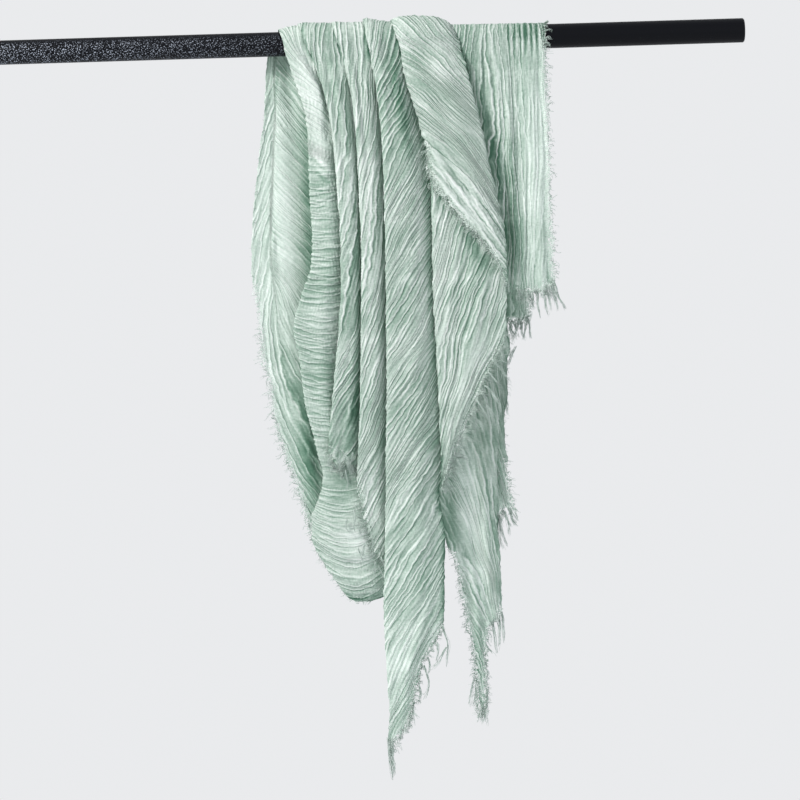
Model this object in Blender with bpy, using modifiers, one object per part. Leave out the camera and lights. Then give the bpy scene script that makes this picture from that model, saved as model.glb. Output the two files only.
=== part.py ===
"""Crinkle hijab: a long scarf of crinkled gauze with frayed edges, thrown over a round rod.

Metres, +Z up. X runs along the rod, the drape is seen from the -Y side, and the origin is on the
rod's axis above the middle of the drape. The cloth is one wall that hangs in front of the rod,
turns over it and hangs behind it. It is laid in seven stretches from left to right, each with its
left edge over the end of the one before.
"""
import math

import bmesh
import bpy
import numpy as np
from mathutils import Vector

# The rod.
ROD_RADIUS = 0.0125
ROD_LEFT = -0.430
ROD_RIGHT = 0.355
ROD_SIDES = 36
ROD_CHAMFER = 0.0012

# The cloth.
WALL = 0.0012
SEAM = 0.0003
FOOT_RADIUS = 0.0137           # middle of the wall where it lies on the rod
CROWN = 0.0140                 # height at which the front and back tables meet, over the rod
EDGE_EASE = 0.0008             # room at each end of a gathered stretch, where its wall leans out
SETTLE = 0.035                 # height over which the gathers on the rod open into the leaf
PLEAT_ROUND = 2.0              # how late a pleat's face turns back towards its right end
ROLL_SHARE = 0.27              # share of the columns that a full edge roll takes
ROLL_FULL = 0.0030             # radius of a full edge roll
RIPPLE_WIDTH = 0.030           # a leaf narrower than this has little or no ripple
SADDLE_STEPS = 8               # rows over the rod

# The fringe.
STRIP_WIDTH = 0.0018           # the backing strip that the threads leave
STRAND_WIDTH = 0.0013
STRAND_TIP = 0.0006
THREAD_SWAY = 0.30             # how far a thread's tip wanders, as a share of the threads' pitch

BLACK_SATIN = (0.012, 0.013, 0.016)
SAGE = (0.46, 0.59, 0.51)
PALE_SAGE = (0.55, 0.66, 0.60)

# A row of a leaf: its height z, the left and right edges (x), how far the left and right edges
# stand out from the rod's axis plane, how much the middle bellies out, and the radius of the edge
# that is rolled under: the left one, or the right one where the value is negative.
COWL_FRONT = (
    # z, left, right, out_left, out_right, belly, roll
    (0.014, -0.1270, -0.1045, 0.0137, 0.0137, 0.000, 0.000),
    (0.000, -0.1235, -0.0985, 0.0137, 0.0137, 0.000, 0.000),
    (-0.015, -0.1210, -0.0930, 0.0145, 0.0137, 0.000, 0.000),
    (-0.022, -0.1160, -0.0890, 0.0155, 0.0138, 0.000, 0.000),
    (-0.030, -0.1130, -0.0840, 0.0165, 0.0140, 0.001, 0.001),
    (-0.050, -0.1060, -0.0770, 0.0185, 0.0140, 0.002, 0.002),
    (-0.075, -0.0995, -0.0700, 0.0195, 0.0140, 0.002, 0.003),
    (-0.100, -0.0975, -0.0650, 0.0195, 0.0135, 0.003, 0.003),
    (-0.150, -0.0975, -0.0620, 0.0195, 0.0135, 0.003, 0.003),
    (-0.200, -0.0960, -0.0600, 0.0195, 0.0135, 0.003, 0.003),
    (-0.230, -0.0980, -0.0600, 0.0195, 0.0135, 0.003, 0.003),
    (-0.260, -0.1090, -0.0620, 0.0200, 0.0135, 0.003, 0.003),
    (-0.295, -0.1180, -0.0650, 0.0200, 0.0130, 0.003, 0.003),
    (-0.325, -0.1130, -0.0680, 0.0200, 0.0125, 0.003, 0.003),
    (-0.375, -0.1080, -0.0700, 0.0200, 0.0120, 0.003, 0.003),
    (-0.400, -0.1020, -0.0600, 0.0190, 0.0110, 0.003, 0.003),
    (-0.425, -0.0970, -0.0420, 0.0165, 0.0090, 0.002, 0.003),
    (-0.445, -0.0925, -0.0320, 0.0150, 0.0080, 0.002, 0.002),
    (-0.460, -0.0950, -0.0280, 0.0140, 0.0080, 0.004, 0.000),
    (-0.475, -0.1000, -0.0250, 0.0130, 0.0080, 0.006, 0.000),
    (-0.490, -0.1060, -0.0240, 0.0115, 0.0080, 0.008, 0.000),
    (-0.510, -0.1060, -0.0240, 0.0095, 0.0080, 0.010, 0.000),
    (-0.527, -0.0995, -0.0240, 0.0085, 0.0080, 0.010, 0.000),
    (-0.543, -0.0910, -0.0240, 0.0080, 0.0080, 0.009, 0.000),
    (-0.555, -0.0825, -0.0240, 0.0080, 0.0080, 0.008, 0.000),
    (-0.565, -0.0765, -0.0250, 0.0080, 0.0080, 0.006, 0.000),
    (-0.573, -0.0690, -0.0350, 0.0070, 0.0070, 0.003, 0.000),
    (-0.577, -0.0620, -0.0480, 0.0060, 0.0060, 0.001, 0.000),
)
COWL_BACK = (
    # z, left, right, out_left, out_right, belly, roll
    (0.014, -0.1270, -0.1045, 0.0137, 0.0137, 0.000, 0.000),
    (0.000, -0.1330, -0.1045, 0.0137, 0.0137, 0.000, 0.000),
    (-0.015, -0.1380, -0.1045, 0.0140, 0.0137, 0.000, 0.000),
    (-0.040, -0.1410, -0.1020, 0.0150, 0.0140, 0.001, 0.000),
    (-0.070, -0.1430, -0.0950, 0.0160, 0.0140, 0.002, 0.000),
    (-0.100, -0.1460, -0.0880, 0.0160, 0.0140, 0.002, 0.000),
    (-0.140, -0.1490, -0.0820, 0.0150, 0.0135, 0.002, 0.000),
    (-0.200, -0.1570, -0.0760, 0.0130, 0.0125, 0.002, 0.000),
    (-0.230, -0.1590, -0.0730, 0.0120, 0.0115, 0.002, 0.000),
    (-0.260, -0.1570, -0.0700, 0.0110, 0.0105, 0.002, 0.000),
    (-0.300, -0.1515, -0.0670, 0.0090, 0.0090, 0.002, 0.000),
    (-0.318, -0.1540, -0.0650, 0.0080, 0.0080, 0.002, 0.000),
    (-0.345, -0.1440, -0.0620, 0.0070, 0.0070, 0.002, 0.000),
    (-0.383, -0.1440, -0.0600, 0.0050, 0.0055, 0.002, 0.000),
    (-0.430, -0.1310, -0.0570, 0.0020, 0.0035, 0.002, 0.000),
    (-0.455, -0.1220, -0.0550, 0.0000, 0.0025, 0.002, 0.000),
    (-0.475, -0.1170, -0.0520, -0.0020, 0.0015, 0.002, 0.000),
    (-0.495, -0.1120, -0.0500, -0.0040, 0.0005, 0.002, 0.000),
    (-0.510, -0.1070, -0.0480, -0.0045, 0.0000, 0.002, 0.000),
    (-0.527, -0.1000, -0.0450, -0.0045, -0.0005, 0.001, 0.000),
    (-0.543, -0.0920, -0.0420, -0.0045, -0.0010, 0.001, 0.000),
    (-0.555, -0.0830, -0.0400, -0.0045, -0.0015, 0.000, 0.000),
    (-0.566, -0.0760, -0.0420, -0.0040, -0.0020, 0.000, 0.000),
    (-0.574, -0.0680, -0.0460, -0.0035, -0.0025, 0.000, 0.000),
)
SIDE_PLEAT_FRONT = (
    # z, left, right, out_left, out_right, belly, roll
    (0.014, -0.1040, -0.0705, 0.0137, 0.0137, 0.000, 0.000),
    (0.000, -0.0980, -0.0653, 0.0140, 0.0137, 0.000, 0.000),
    (-0.015, -0.0925, -0.0610, 0.0160, 0.0137, 0.000, 0.000),
    (-0.022, -0.0895, -0.0570, 0.0175, 0.0138, 0.000, 0.000),
    (-0.030, -0.0865, -0.0520, 0.0200, 0.0140, 0.001, 0.001),
    (-0.060, -0.0780, -0.0460, 0.0250, 0.0140, 0.001, 0.003),
    (-0.100, -0.0720, -0.0420, 0.0270, 0.0140, 0.001, 0.003),
    (-0.150, -0.0690, -0.0405, 0.0280, 0.0140, 0.001, 0.003),
    (-0.200, -0.0670, -0.0400, 0.0285, 0.0140, 0.001, 0.003),
    (-0.250, -0.0680, -0.0410, 0.0290, 0.0140, 0.001, 0.003),
    (-0.300, -0.0720, -0.0430, 0.0290, 0.0140, 0.001, 0.003),
    (-0.350, -0.0780, -0.0440, 0.0290, 0.0140, 0.001, 0.003),
    (-0.400, -0.0840, -0.0480, 0.0290, 0.0160, 0.001, 0.002),
    (-0.418, -0.0860, -0.0500, 0.0285, 0.0180, 0.001, 0.000),
    (-0.438, -0.0830, -0.0520, 0.0275, 0.0195, 0.001, 0.000),
)
SIDE_PLEAT_BACK = (
    # z, left, right, out_left, out_right, belly, roll
    (0.014, -0.1040, -0.0705, 0.0137, 0.0137, 0.000, 0.000),
    (0.000, -0.1040, -0.0695, 0.0138, 0.0137, 0.000, 0.000),
    (-0.015, -0.1040, -0.0680, 0.0145, 0.0140, 0.000, 0.000),
    (-0.030, -0.1038, -0.0660, 0.0165, 0.0155, 0.000, 0.000),
    (-0.050, -0.1040, -0.0630, 0.0200, 0.0185, 0.001, 0.000),
    (-0.100, -0.1060, -0.0590, 0.0230, 0.0210, 0.002, 0.002),
    (-0.200, -0.1100, -0.0560, 0.0250, 0.0220, 0.003, 0.003),
    (-0.300, -0.1120, -0.0560, 0.0250, 0.0220, 0.003, 0.003),
    (-0.400, -0.1050, -0.0570, 0.0240, 0.0210, 0.003, 0.003),
    (-0.455, -0.0960, -0.0600, 0.0230, 0.0210, 0.003, 0.002),
    (-0.480, -0.0900, -0.0620, 0.0230, 0.0210, 0.002, 0.000),
)
MIDDLE_PLEAT_FRONT = (
    # z, left, right, out_left, out_right, belly, roll
    (0.014, -0.0700, -0.0385, 0.0137, 0.0137, 0.000, 0.000),
    (0.000, -0.0648, -0.0348, 0.0140, 0.0137, 0.000, 0.000),
    (-0.015, -0.0605, -0.0320, 0.0165, 0.0137, 0.000, 0.000),
    (-0.022, -0.0587, -0.0285, 0.0185, 0.0138, 0.000, 0.000),
    (-0.030, -0.0570, -0.0240, 0.0215, 0.0140, 0.001, 0.001),
    (-0.050, -0.0530, -0.0200, 0.0260, 0.0145, 0.001, 0.003),
    (-0.075, -0.0500, -0.0180, 0.0280, 0.0145, 0.001, 0.003),
    (-0.100, -0.0480, -0.0160, 0.0290, 0.0145, 0.001, 0.003),
    (-0.200, -0.0460, -0.0150, 0.0300, 0.0145, 0.001, 0.003),
    (-0.300, -0.0490, -0.0170, 0.0300, 0.0145, 0.001, 0.003),
    (-0.370, -0.0520, -0.0185, 0.0300, 0.0145, 0.001, 0.003),
    (-0.430, -0.0560, -0.0210, 0.0290, 0.0145, 0.001, 0.002),
    (-0.458, -0.0580, -0.0220, 0.0275, 0.0145, 0.001, 0.000),
    (-0.480, -0.0550, -0.0230, 0.0260, 0.0145, 0.001, 0.000),
    (-0.500, -0.0515, -0.0240, 0.0245, 0.0145, 0.001, 0.000),
    (-0.520, -0.0455, -0.0245, 0.0220, 0.0145, 0.000, 0.000),
    (-0.533, -0.0390, -0.0245, 0.0200, 0.0145, 0.000, 0.000),
    (-0.545, -0.0310, -0.0250, 0.0170, 0.0150, 0.000, 0.000),
)
MIDDLE_PLEAT_BACK = (
    # z, left, right, out_left, out_right, belly, roll
    (0.014, -0.0700, -0.0385, 0.0137, 0.0137, 0.000, 0.000),
    (0.000, -0.0690, -0.0370, 0.0137, 0.0137, 0.000, 0.000),
    (-0.015, -0.0675, -0.0355, 0.0138, 0.0138, 0.000, 0.000),
    (-0.030, -0.0655, -0.0345, 0.0140, 0.0140, 0.000, 0.000),
    (-0.050, -0.0650, -0.0320, 0.0142, 0.0142, 0.000, 0.000),
    (-0.100, -0.0640, -0.0280, 0.0150, 0.0150, 0.001, 0.000),
    (-0.200, -0.0600, -0.0240, 0.0150, 0.0150, 0.002, 0.000),
    (-0.300, -0.0560, -0.0220, 0.0150, 0.0150, 0.002, 0.000),
    (-0.400, -0.0530, -0.0200, 0.0140, 0.0150, 0.002, 0.000),
    (-0.480, -0.0500, -0.0180, 0.0130, 0.0150, 0.002, 0.000),
    (-0.520, -0.0470, -0.0180, 0.0130, 0.0150, 0.001, 0.000),
)
LONG_TAIL_FRONT = (
    # z, left, right, out_left, out_right, belly, roll
    (0.014, -0.0380, -0.0100, 0.0137, 0.0137, 0.000, 0.000),
    (0.000, -0.0343, -0.0040, 0.0140, 0.0137, 0.000, 0.000),
    (-0.015, -0.0315, 0.0000, 0.0170, 0.0137, 0.000, 0.000),
    (-0.022, -0.0302, 0.0040, 0.0195, 0.0138, 0.000, 0.000),
    (-0.030, -0.0290, 0.0075, 0.0230, 0.0140, 0.001, 0.001),
    (-0.050, -0.0260, 0.0120, 0.0280, 0.0145, 0.001, 0.003),
    (-0.075, -0.0240, 0.0175, 0.0300, 0.0145, 0.001, 0.003),
    (-0.100, -0.0220, 0.0240, 0.0310, 0.0145, 0.002, 0.003),
    (-0.150, -0.0210, 0.0320, 0.0320, 0.0145, 0.002, 0.003),
    (-0.200, -0.0210, 0.0330, 0.0320, 0.0145, 0.002, 0.003),
    (-0.250, -0.0220, 0.0325, 0.0320, 0.0145, 0.002, 0.003),
    (-0.300, -0.0230, 0.0335, 0.0320, 0.0145, 0.002, 0.003),
    (-0.350, -0.0240, 0.0345, 0.0320, 0.0145, 0.002, 0.003),
    (-0.400, -0.0260, 0.0345, 0.0320, 0.0150, 0.002, 0.003),
    (-0.440, -0.0277, 0.0320, 0.0310, 0.0155, 0.002, 0.003),
    (-0.468, -0.0285, 0.0255, 0.0300, 0.0170, 0.003, 0.003),
    (-0.490, -0.0295, 0.0280, 0.0295, 0.0175, 0.003, 0.003),
    (-0.510, -0.0305, 0.0310, 0.0290, 0.0180, 0.003, 0.003),
    (-0.550, -0.0325, 0.0290, 0.0275, 0.0190, 0.003, 0.003),
    (-0.580, -0.0340, 0.0280, 0.0270, 0.0195, 0.003, 0.003),
    (-0.607, -0.0340, 0.0245, 0.0265, 0.0200, 0.002, 0.003),
    (-0.632, -0.0335, 0.0100, 0.0260, 0.0210, 0.002, 0.003),
    (-0.645, -0.0330, 0.0035, 0.0260, 0.0215, 0.002, 0.003),
    (-0.660, -0.0325, 0.0000, 0.0255, 0.0220, 0.001, 0.002),
    (-0.680, -0.0315, -0.0050, 0.0255, 0.0225, 0.001, 0.000),
    (-0.700, -0.0320, -0.0110, 0.0250, 0.0230, 0.000, 0.000),
    (-0.713, -0.0328, -0.0200, 0.0250, 0.0235, 0.000, 0.000),
    (-0.725, -0.0335, -0.0290, 0.0245, 0.0240, 0.000, 0.000),
)
LONG_TAIL_BACK = (
    # z, left, right, out_left, out_right, belly, roll
    (0.014, -0.0380, -0.0100, 0.0137, 0.0137, 0.000, 0.000),
    (0.000, -0.0365, -0.0090, 0.0138, 0.0137, 0.000, 0.000),
    (-0.015, -0.0350, -0.0070, 0.0145, 0.0140, 0.000, 0.000),
    (-0.030, -0.0340, -0.0045, 0.0165, 0.0160, 0.000, 0.000),
    (-0.050, -0.0345, -0.0020, 0.0200, 0.0190, 0.001, 0.000),
    (-0.100, -0.0360, 0.0040, 0.0225, 0.0210, 0.002, 0.000),
    (-0.200, -0.0380, 0.0080, 0.0235, 0.0215, 0.003, 0.000),
    (-0.300, -0.0340, 0.0120, 0.0235, 0.0215, 0.003, 0.000),
    (-0.380, -0.0280, 0.0160, 0.0230, 0.0210, 0.003, 0.000),
    (-0.440, -0.0200, 0.0180, 0.0220, 0.0210, 0.002, 0.000),
)
UNDER_FALL_FRONT = (
    # z, left, right, out_left, out_right, belly, roll
    (0.014, 0.0000, 0.0420, 0.0137, 0.0137, 0.000, 0.000),
    (0.000, 0.0050, 0.0460, 0.0137, 0.0137, 0.000, 0.000),
    (-0.015, 0.0090, 0.0500, 0.0142, 0.0142, 0.000, 0.000),
    (-0.050, 0.0150, 0.0610, 0.0180, 0.0185, 0.000, 0.000),
    (-0.075, 0.0190, 0.0690, 0.0205, 0.0200, 0.000, 0.001),
    (-0.100, 0.0220, 0.0760, 0.0230, 0.0205, 0.000, 0.002),
    (-0.155, 0.0270, 0.0860, 0.0255, 0.0210, 0.000, 0.003),
    (-0.200, 0.0270, 0.0940, 0.0260, 0.0215, 0.000, 0.003),
    (-0.230, 0.0262, 0.0980, 0.0260, 0.0215, 0.000, 0.003),
    (-0.256, 0.0262, 0.1010, 0.0260, 0.0215, 0.001, 0.003),
    (-0.300, 0.0270, 0.1000, 0.0260, 0.0215, 0.001, 0.003),
    (-0.315, 0.0275, 0.0975, 0.0260, 0.0220, 0.001, 0.003),
    (-0.330, 0.0278, 0.0900, 0.0260, 0.0220, 0.001, 0.003),
    (-0.347, 0.0280, 0.0800, 0.0260, 0.0225, 0.001, 0.003),
    (-0.375, 0.0285, 0.0680, 0.0260, 0.0225, 0.001, 0.003),
    (-0.407, 0.0290, 0.0530, 0.0255, 0.0225, 0.001, 0.002),
    (-0.432, 0.0290, 0.0425, 0.0255, 0.0225, 0.000, 0.000),
    (-0.450, 0.0285, 0.0365, 0.0250, 0.0225, 0.000, 0.000),
    (-0.466, 0.0275, 0.0310, 0.0240, 0.0225, 0.000, 0.000),
)
SHORT_TAIL_BACK = (
    # z, left, right, out_left, out_right, belly, roll
    (0.014, 0.0000, 0.0420, 0.0137, 0.0137, 0.000, 0.000),
    (0.000, 0.0020, 0.0440, 0.0137, 0.0137, 0.000, 0.000),
    (-0.015, 0.0040, 0.0480, 0.0138, 0.0138, 0.000, 0.000),
    (-0.050, 0.0080, 0.0590, 0.0142, 0.0142, 0.000, 0.000),
    (-0.100, 0.0120, 0.0770, 0.0145, 0.0145, 0.001, 0.000),
    (-0.150, 0.0150, 0.0870, 0.0145, 0.0145, 0.001, 0.000),
    (-0.200, 0.0180, 0.0960, 0.0140, 0.0145, 0.001, 0.000),
    (-0.300, 0.0230, 0.0975, 0.0120, 0.0140, 0.001, 0.000),
    (-0.400, 0.0270, 0.0910, 0.0080, 0.0130, 0.000, 0.000),
    (-0.450, 0.0290, 0.0870, 0.0060, 0.0120, -0.001, 0.000),
    (-0.500, 0.0305, 0.0860, 0.0040, 0.0110, -0.002, 0.000),
    (-0.535, 0.0370, 0.0870, 0.0030, 0.0100, -0.002, 0.000),
    (-0.575, 0.0450, 0.0875, 0.0020, 0.0090, -0.002, 0.000),
    (-0.598, 0.0490, 0.0875, 0.0020, 0.0080, -0.001, 0.000),
    (-0.604, 0.0500, 0.0800, 0.0020, 0.0070, -0.001, 0.000),
    (-0.612, 0.0515, 0.0740, 0.0020, 0.0060, -0.001, 0.000),
    (-0.640, 0.0555, 0.0715, 0.0020, 0.0050, 0.000, 0.000),
    (-0.660, 0.0570, 0.0708, 0.0020, 0.0040, 0.000, 0.000),
    (-0.680, 0.0580, 0.0700, 0.0020, 0.0035, 0.000, 0.000),
    (-0.694, 0.0610, 0.0680, 0.0020, 0.0030, 0.000, 0.000),
)
FLAP_FRONT = (
    # z, left, right, out_left, out_right, belly, roll
    (0.014, -0.0095, 0.0505, 0.0137, 0.0137, 0.000, 0.000),
    (0.000, -0.0035, 0.0570, 0.0150, 0.0150, 0.000, 0.000),
    (-0.015, 0.0005, 0.0620, 0.0190, 0.0190, 0.004, 0.000),
    (-0.030, 0.0018, 0.0665, 0.0215, 0.0225, 0.006, -0.001),
    (-0.050, 0.0060, 0.0710, 0.0235, 0.0250, 0.006, -0.003),
    (-0.070, 0.0120, 0.0755, 0.0250, 0.0265, 0.005, -0.003),
    (-0.090, 0.0170, 0.0800, 0.0265, 0.0275, 0.005, -0.003),
    (-0.110, 0.0210, 0.0835, 0.0280, 0.0280, 0.004, -0.003),
    (-0.130, 0.0232, 0.0870, 0.0295, 0.0280, 0.004, -0.003),
    (-0.145, 0.0260, 0.0900, 0.0300, 0.0280, 0.004, -0.003),
    (-0.153, 0.0292, 0.0917, 0.0300, 0.0280, 0.004, -0.003),
    (-0.160, 0.0350, 0.0930, 0.0300, 0.0280, 0.004, -0.003),
    (-0.175, 0.0450, 0.0960, 0.0300, 0.0280, 0.004, -0.003),
    (-0.187, 0.0550, 0.0983, 0.0298, 0.0280, 0.003, -0.003),
    (-0.198, 0.0650, 0.1005, 0.0295, 0.0280, 0.003, -0.003),
    (-0.217, 0.0800, 0.1017, 0.0290, 0.0280, 0.001, -0.002),
    (-0.238, 0.0920, 0.1020, 0.0285, 0.0275, 0.000, 0.000),
    (-0.256, 0.0995, 0.1025, 0.0275, 0.0270, 0.000, 0.000),
)
CASCADE_BACK = (
    # z, left, right, out_left, out_right, belly, roll
    (0.014, -0.0095, 0.0505, 0.0137, 0.0137, 0.000, 0.000),
    (0.000, -0.0085, 0.0525, 0.0150, 0.0145, 0.000, 0.000),
    (-0.015, -0.0065, 0.0560, 0.0180, 0.0155, 0.003, 0.000),
    (-0.030, -0.0038, 0.0600, 0.0200, 0.0170, 0.005, 0.000),
    (-0.050, 0.0020, 0.0680, 0.0220, 0.0195, 0.005, 0.000),
    (-0.100, 0.0130, 0.0860, 0.0240, 0.0220, 0.003, 0.000),
    (-0.150, 0.0280, 0.0960, 0.0245, 0.0230, 0.002, 0.000),
    (-0.200, 0.0420, 0.1005, 0.0245, 0.0230, 0.002, 0.000),
    (-0.300, 0.0560, 0.1030, 0.0230, 0.0210, 0.001, 0.000),
    (-0.320, 0.0580, 0.1050, 0.0225, 0.0205, 0.001, 0.000),
    (-0.335, 0.0590, 0.1010, 0.0220, 0.0200, 0.001, 0.000),
    (-0.370, 0.0610, 0.1005, 0.0215, 0.0190, 0.001, 0.000),
    (-0.395, 0.0620, 0.0965, 0.0210, 0.0185, 0.001, 0.000),
    (-0.420, 0.0635, 0.0970, 0.0205, 0.0180, 0.001, 0.000),
    (-0.450, 0.0660, 0.1003, 0.0200, 0.0175, 0.001, 0.000),
    (-0.480, 0.0700, 0.1038, 0.0190, 0.0170, 0.000, 0.000),
    (-0.494, 0.0740, 0.1065, 0.0185, 0.0165, 0.000, 0.000),
)
RIGHT_FALL_FRONT = (
    # z, left, right, out_left, out_right, belly, roll
    (0.014, 0.0510, 0.1500, 0.0137, 0.0137, 0.000, 0.000),
    (0.000, 0.0575, 0.1500, 0.0137, 0.0137, 0.000, 0.000),
    (-0.015, 0.0625, 0.1500, 0.0138, 0.0138, 0.000, 0.000),
    (-0.030, 0.0660, 0.1500, 0.0140, 0.0140, 0.000, 0.000),
    (-0.050, 0.0680, 0.1500, 0.0142, 0.0142, 0.001, 0.000),
    (-0.100, 0.0760, 0.1500, 0.0145, 0.0145, 0.001, 0.000),
    (-0.150, 0.0840, 0.1495, 0.0145, 0.0145, 0.001, 0.000),
    (-0.200, 0.0900, 0.1495, 0.0145, 0.0145, 0.001, 0.000),
    (-0.250, 0.0940, 0.1510, 0.0145, 0.0145, 0.001, 0.000),
    (-0.263, 0.0950, 0.1515, 0.0145, 0.0145, 0.001, 0.000),
)
RIGHT_FALL_BACK = (
    # z, left, right, out_left, out_right, belly, roll
    (0.014, 0.0510, 0.1500, 0.0137, 0.0137, 0.000, 0.000),
    (0.000, 0.0530, 0.1400, 0.0137, 0.0137, 0.000, 0.000),
    (-0.015, 0.0565, 0.1310, 0.0138, 0.0138, 0.000, 0.000),
    (-0.030, 0.0605, 0.1250, 0.0138, 0.0138, 0.000, 0.000),
    (-0.050, 0.0650, 0.1200, 0.0140, 0.0140, 0.000, 0.000),
    (-0.100, 0.0820, 0.1180, 0.0142, 0.0142, 0.001, 0.000),
    (-0.150, 0.0920, 0.1215, 0.0142, 0.0142, 0.001, 0.000),
    (-0.200, 0.1005, 0.1260, 0.0140, 0.0140, 0.001, 0.000),
    (-0.300, 0.1015, 0.1280, 0.0135, 0.0135, 0.001, 0.000),
    (-0.304, 0.1015, 0.1275, 0.0135, 0.0135, 0.001, 0.000),
)

# A stretch of cloth: its leaf in front of the rod and its leaf behind, how far its gathers stand
# up from the rod, how many there are, how flat their tops are, the height and number of the soft
# ripples across its front leaf and its back leaf, and its mesh columns and rows.
STRETCHES = (
    # name, front, back, gather, gathers, flatness, front_ripple, back_ripple, mesh, colour
    ("cowl", COWL_FRONT, COWL_BACK, 0.0030, 1, 0.7, (0.0008, 2), (0.0020, 2), (10, 18, 14), SAGE),
    ("side_pleat", SIDE_PLEAT_FRONT, SIDE_PLEAT_BACK, 0.0055, 2, 0.7, (0.0006, 2), (0.0015, 1),
     (10, 12, 8), PALE_SAGE),
    ("middle_pleat", MIDDLE_PLEAT_FRONT, MIDDLE_PLEAT_BACK, 0.0060, 2, 0.7, (0.0006, 2), (0.0012, 1),
     (10, 15, 8), PALE_SAGE),
    ("long_tail", LONG_TAIL_FRONT, LONG_TAIL_BACK, 0.0060, 2, 0.7, (0.0008, 2), (0.0015, 1),
     (10, 20, 8), SAGE),
    ("under_fall", UNDER_FALL_FRONT, SHORT_TAIL_BACK, 0.0010, 1, 0.7, (0.0008, 2), (0.0012, 2),
     (9, 14, 18), SAGE),
    ("flap", FLAP_FRONT, CASCADE_BACK, 0.0110, 1, 0.35, (0.0010, 2), (0.0012, 1), (11, 13, 14),
     PALE_SAGE),
    ("right_fall", RIGHT_FALL_FRONT, RIGHT_FALL_BACK, 0.0016, 3, 0.7, (0.0012, 3), (0.0010, 1),
     (12, 7, 8), PALE_SAGE),
)

# A fringe: the stretch and the leaf's edge that it leaves, the heights it runs between on a side
# edge, its threads, their length, and how far they lean to the right for each metre they fall.
FRINGES = (
    # name, stretch, leaf, edge, top, bottom, threads, length, lean
    ("cowl_selvedge_frays", "cowl", "back", "left", -0.290, -0.565, 22, 0.0060, -0.9),
    ("side_pleat_fringe", "side_pleat", "front", "hem", 0.0, 0.0, 10, 0.0100, 0.1),
    ("middle_pleat_fringe", "middle_pleat", "front", "left", -0.450, -0.550, 14, 0.0100, -0.3),
    ("long_tail_fringe", "long_tail", "front", "right", -0.590, -0.730, 20, 0.0160, 0.5),
    ("long_tail_tip_threads", "long_tail", "front", "hem", 0.0, 0.0, 2, 0.0300, 0.05),
    ("under_fall_fringe", "under_fall", "front", "right", -0.290, -0.470, 24, 0.0190, 0.6),
    ("short_tail_fringe", "under_fall", "back", "right", -0.590, -0.700, 14, 0.0140, 0.15),
    ("short_tail_frays", "under_fall", "back", "left", -0.600, -0.700, 8, 0.0070, -0.7),
    ("flap_selvedge_frays", "flap", "front", "left", -0.115, -0.260, 18, 0.0055, 0.0),
    ("cascade_hem_fringe", "flap", "back", "hem", 0.0, 0.0, 9, 0.0240, 0.2),
    ("cascade_selvedge_frays", "flap", "back", "right", -0.300, -0.480, 12, 0.0060, 0.6),
    ("right_fall_hem_fringe", "right_fall", "front", "hem", 0.0, 0.0, 24, 0.0220, 0.25),
    ("right_fall_selvedge_frays", "right_fall", "front", "right", -0.010, -0.262, 15, 0.0045, 0.9),
    ("right_fall_back_fringe", "right_fall", "back", "hem", 0.0, 0.0, 9, 0.0130, 0.3),
)


def clear_scene():
    """Remove every object that the file opened with."""
    for thing in list(bpy.data.objects):
        bpy.data.objects.remove(thing, do_unlink=True)


def finish_material(name, colour, roughness):
    """A plain Principled material in one colour."""
    material = bpy.data.materials.new(name)
    material.use_nodes = True
    shader = material.node_tree.nodes["Principled BSDF"]
    shader.inputs["Base Color"].default_value = (*colour, 1.0)
    shader.inputs["Roughness"].default_value = roughness
    shader.inputs["Metallic"].default_value = 0.0
    return material


def add_object(bm, name, colour, roughness, collection):
    """Turn a bmesh into a named object with its own material."""
    mesh = bpy.data.meshes.new(name)
    bm.to_mesh(mesh)
    bm.free()
    mesh.materials.append(finish_material(name, colour, roughness))
    thing = bpy.data.objects.new(name, mesh)
    collection.objects.link(thing)
    return thing


def smooth_step(value):
    """Ease from 0 to 1."""
    value = min(max(value, 0.0), 1.0)
    return value * value * (3.0 - 2.0 * value)


def table_row(table, height):
    """Read the columns of a leaf's table at a height, without overshoot between its rows."""
    rows = np.array(table)[::-1]
    heights = rows[:, 0]
    values = rows[:, 1:]
    steps = np.diff(heights)[:, None]
    slopes = np.diff(values, axis=0) / steps
    same_way = slopes[:-1] * slopes[1:] > 0.0
    total = np.where(same_way, slopes[:-1] + slopes[1:], 1.0)
    tangents = np.zeros_like(values)
    tangents[1:-1] = np.where(same_way, 2.0 * slopes[:-1] * slopes[1:] / total, 0.0)
    tangents[0] = slopes[0]
    tangents[-1] = slopes[-1]
    height = min(max(height, heights[0]), heights[-1])
    k = int(min(max(np.searchsorted(heights, height) - 1, 0), len(steps) - 1))
    step = steps[k, 0]
    t = (height - heights[k]) / step
    start = values[k] * (1.0 + 2.0 * t) * (1.0 - t) ** 2 + step * tangents[k] * t * (1.0 - t) ** 2
    end = values[k + 1] * t * t * (3.0 - 2.0 * t) + step * tangents[k + 1] * t * t * (t - 1.0)
    return start + end


def across_leaf(u, row):
    """Place the share u of a leaf's width: its x, and how far it stands out from the rod."""
    left, right, out_left, out_right, belly, roll = row
    width = right - left
    radius = min(abs(roll), 0.22 * width)
    from_edge = 1.0 - u if roll < 0.0 else u
    share = ROLL_SHARE * radius / ROLL_FULL
    if from_edge < share:
        turn = math.pi * from_edge / share
        inset = radius * (1.0 - math.sin(turn))
        tuck = radius * (1.0 + math.cos(turn))
        along = 0.0
    else:
        along = (from_edge - share) / (1.0 - share)
        inset = radius + along * (width - radius)
        tuck = 0.0
    if roll < 0.0:
        x = right - inset
        along = 1.0 - along
    else:
        x = left + inset
    out = out_left + (out_right - out_left) * along ** PLEAT_ROUND
    return x, out + belly * math.sin(math.pi * along) - tuck


def gather_radius(u, gather, gathers, flatness):
    """Distance of the wall from the rod's axis, where the stretch is gathered on the rod."""
    return FOOT_RADIUS + gather * abs(math.sin(math.pi * gathers * u)) ** flatness


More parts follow.
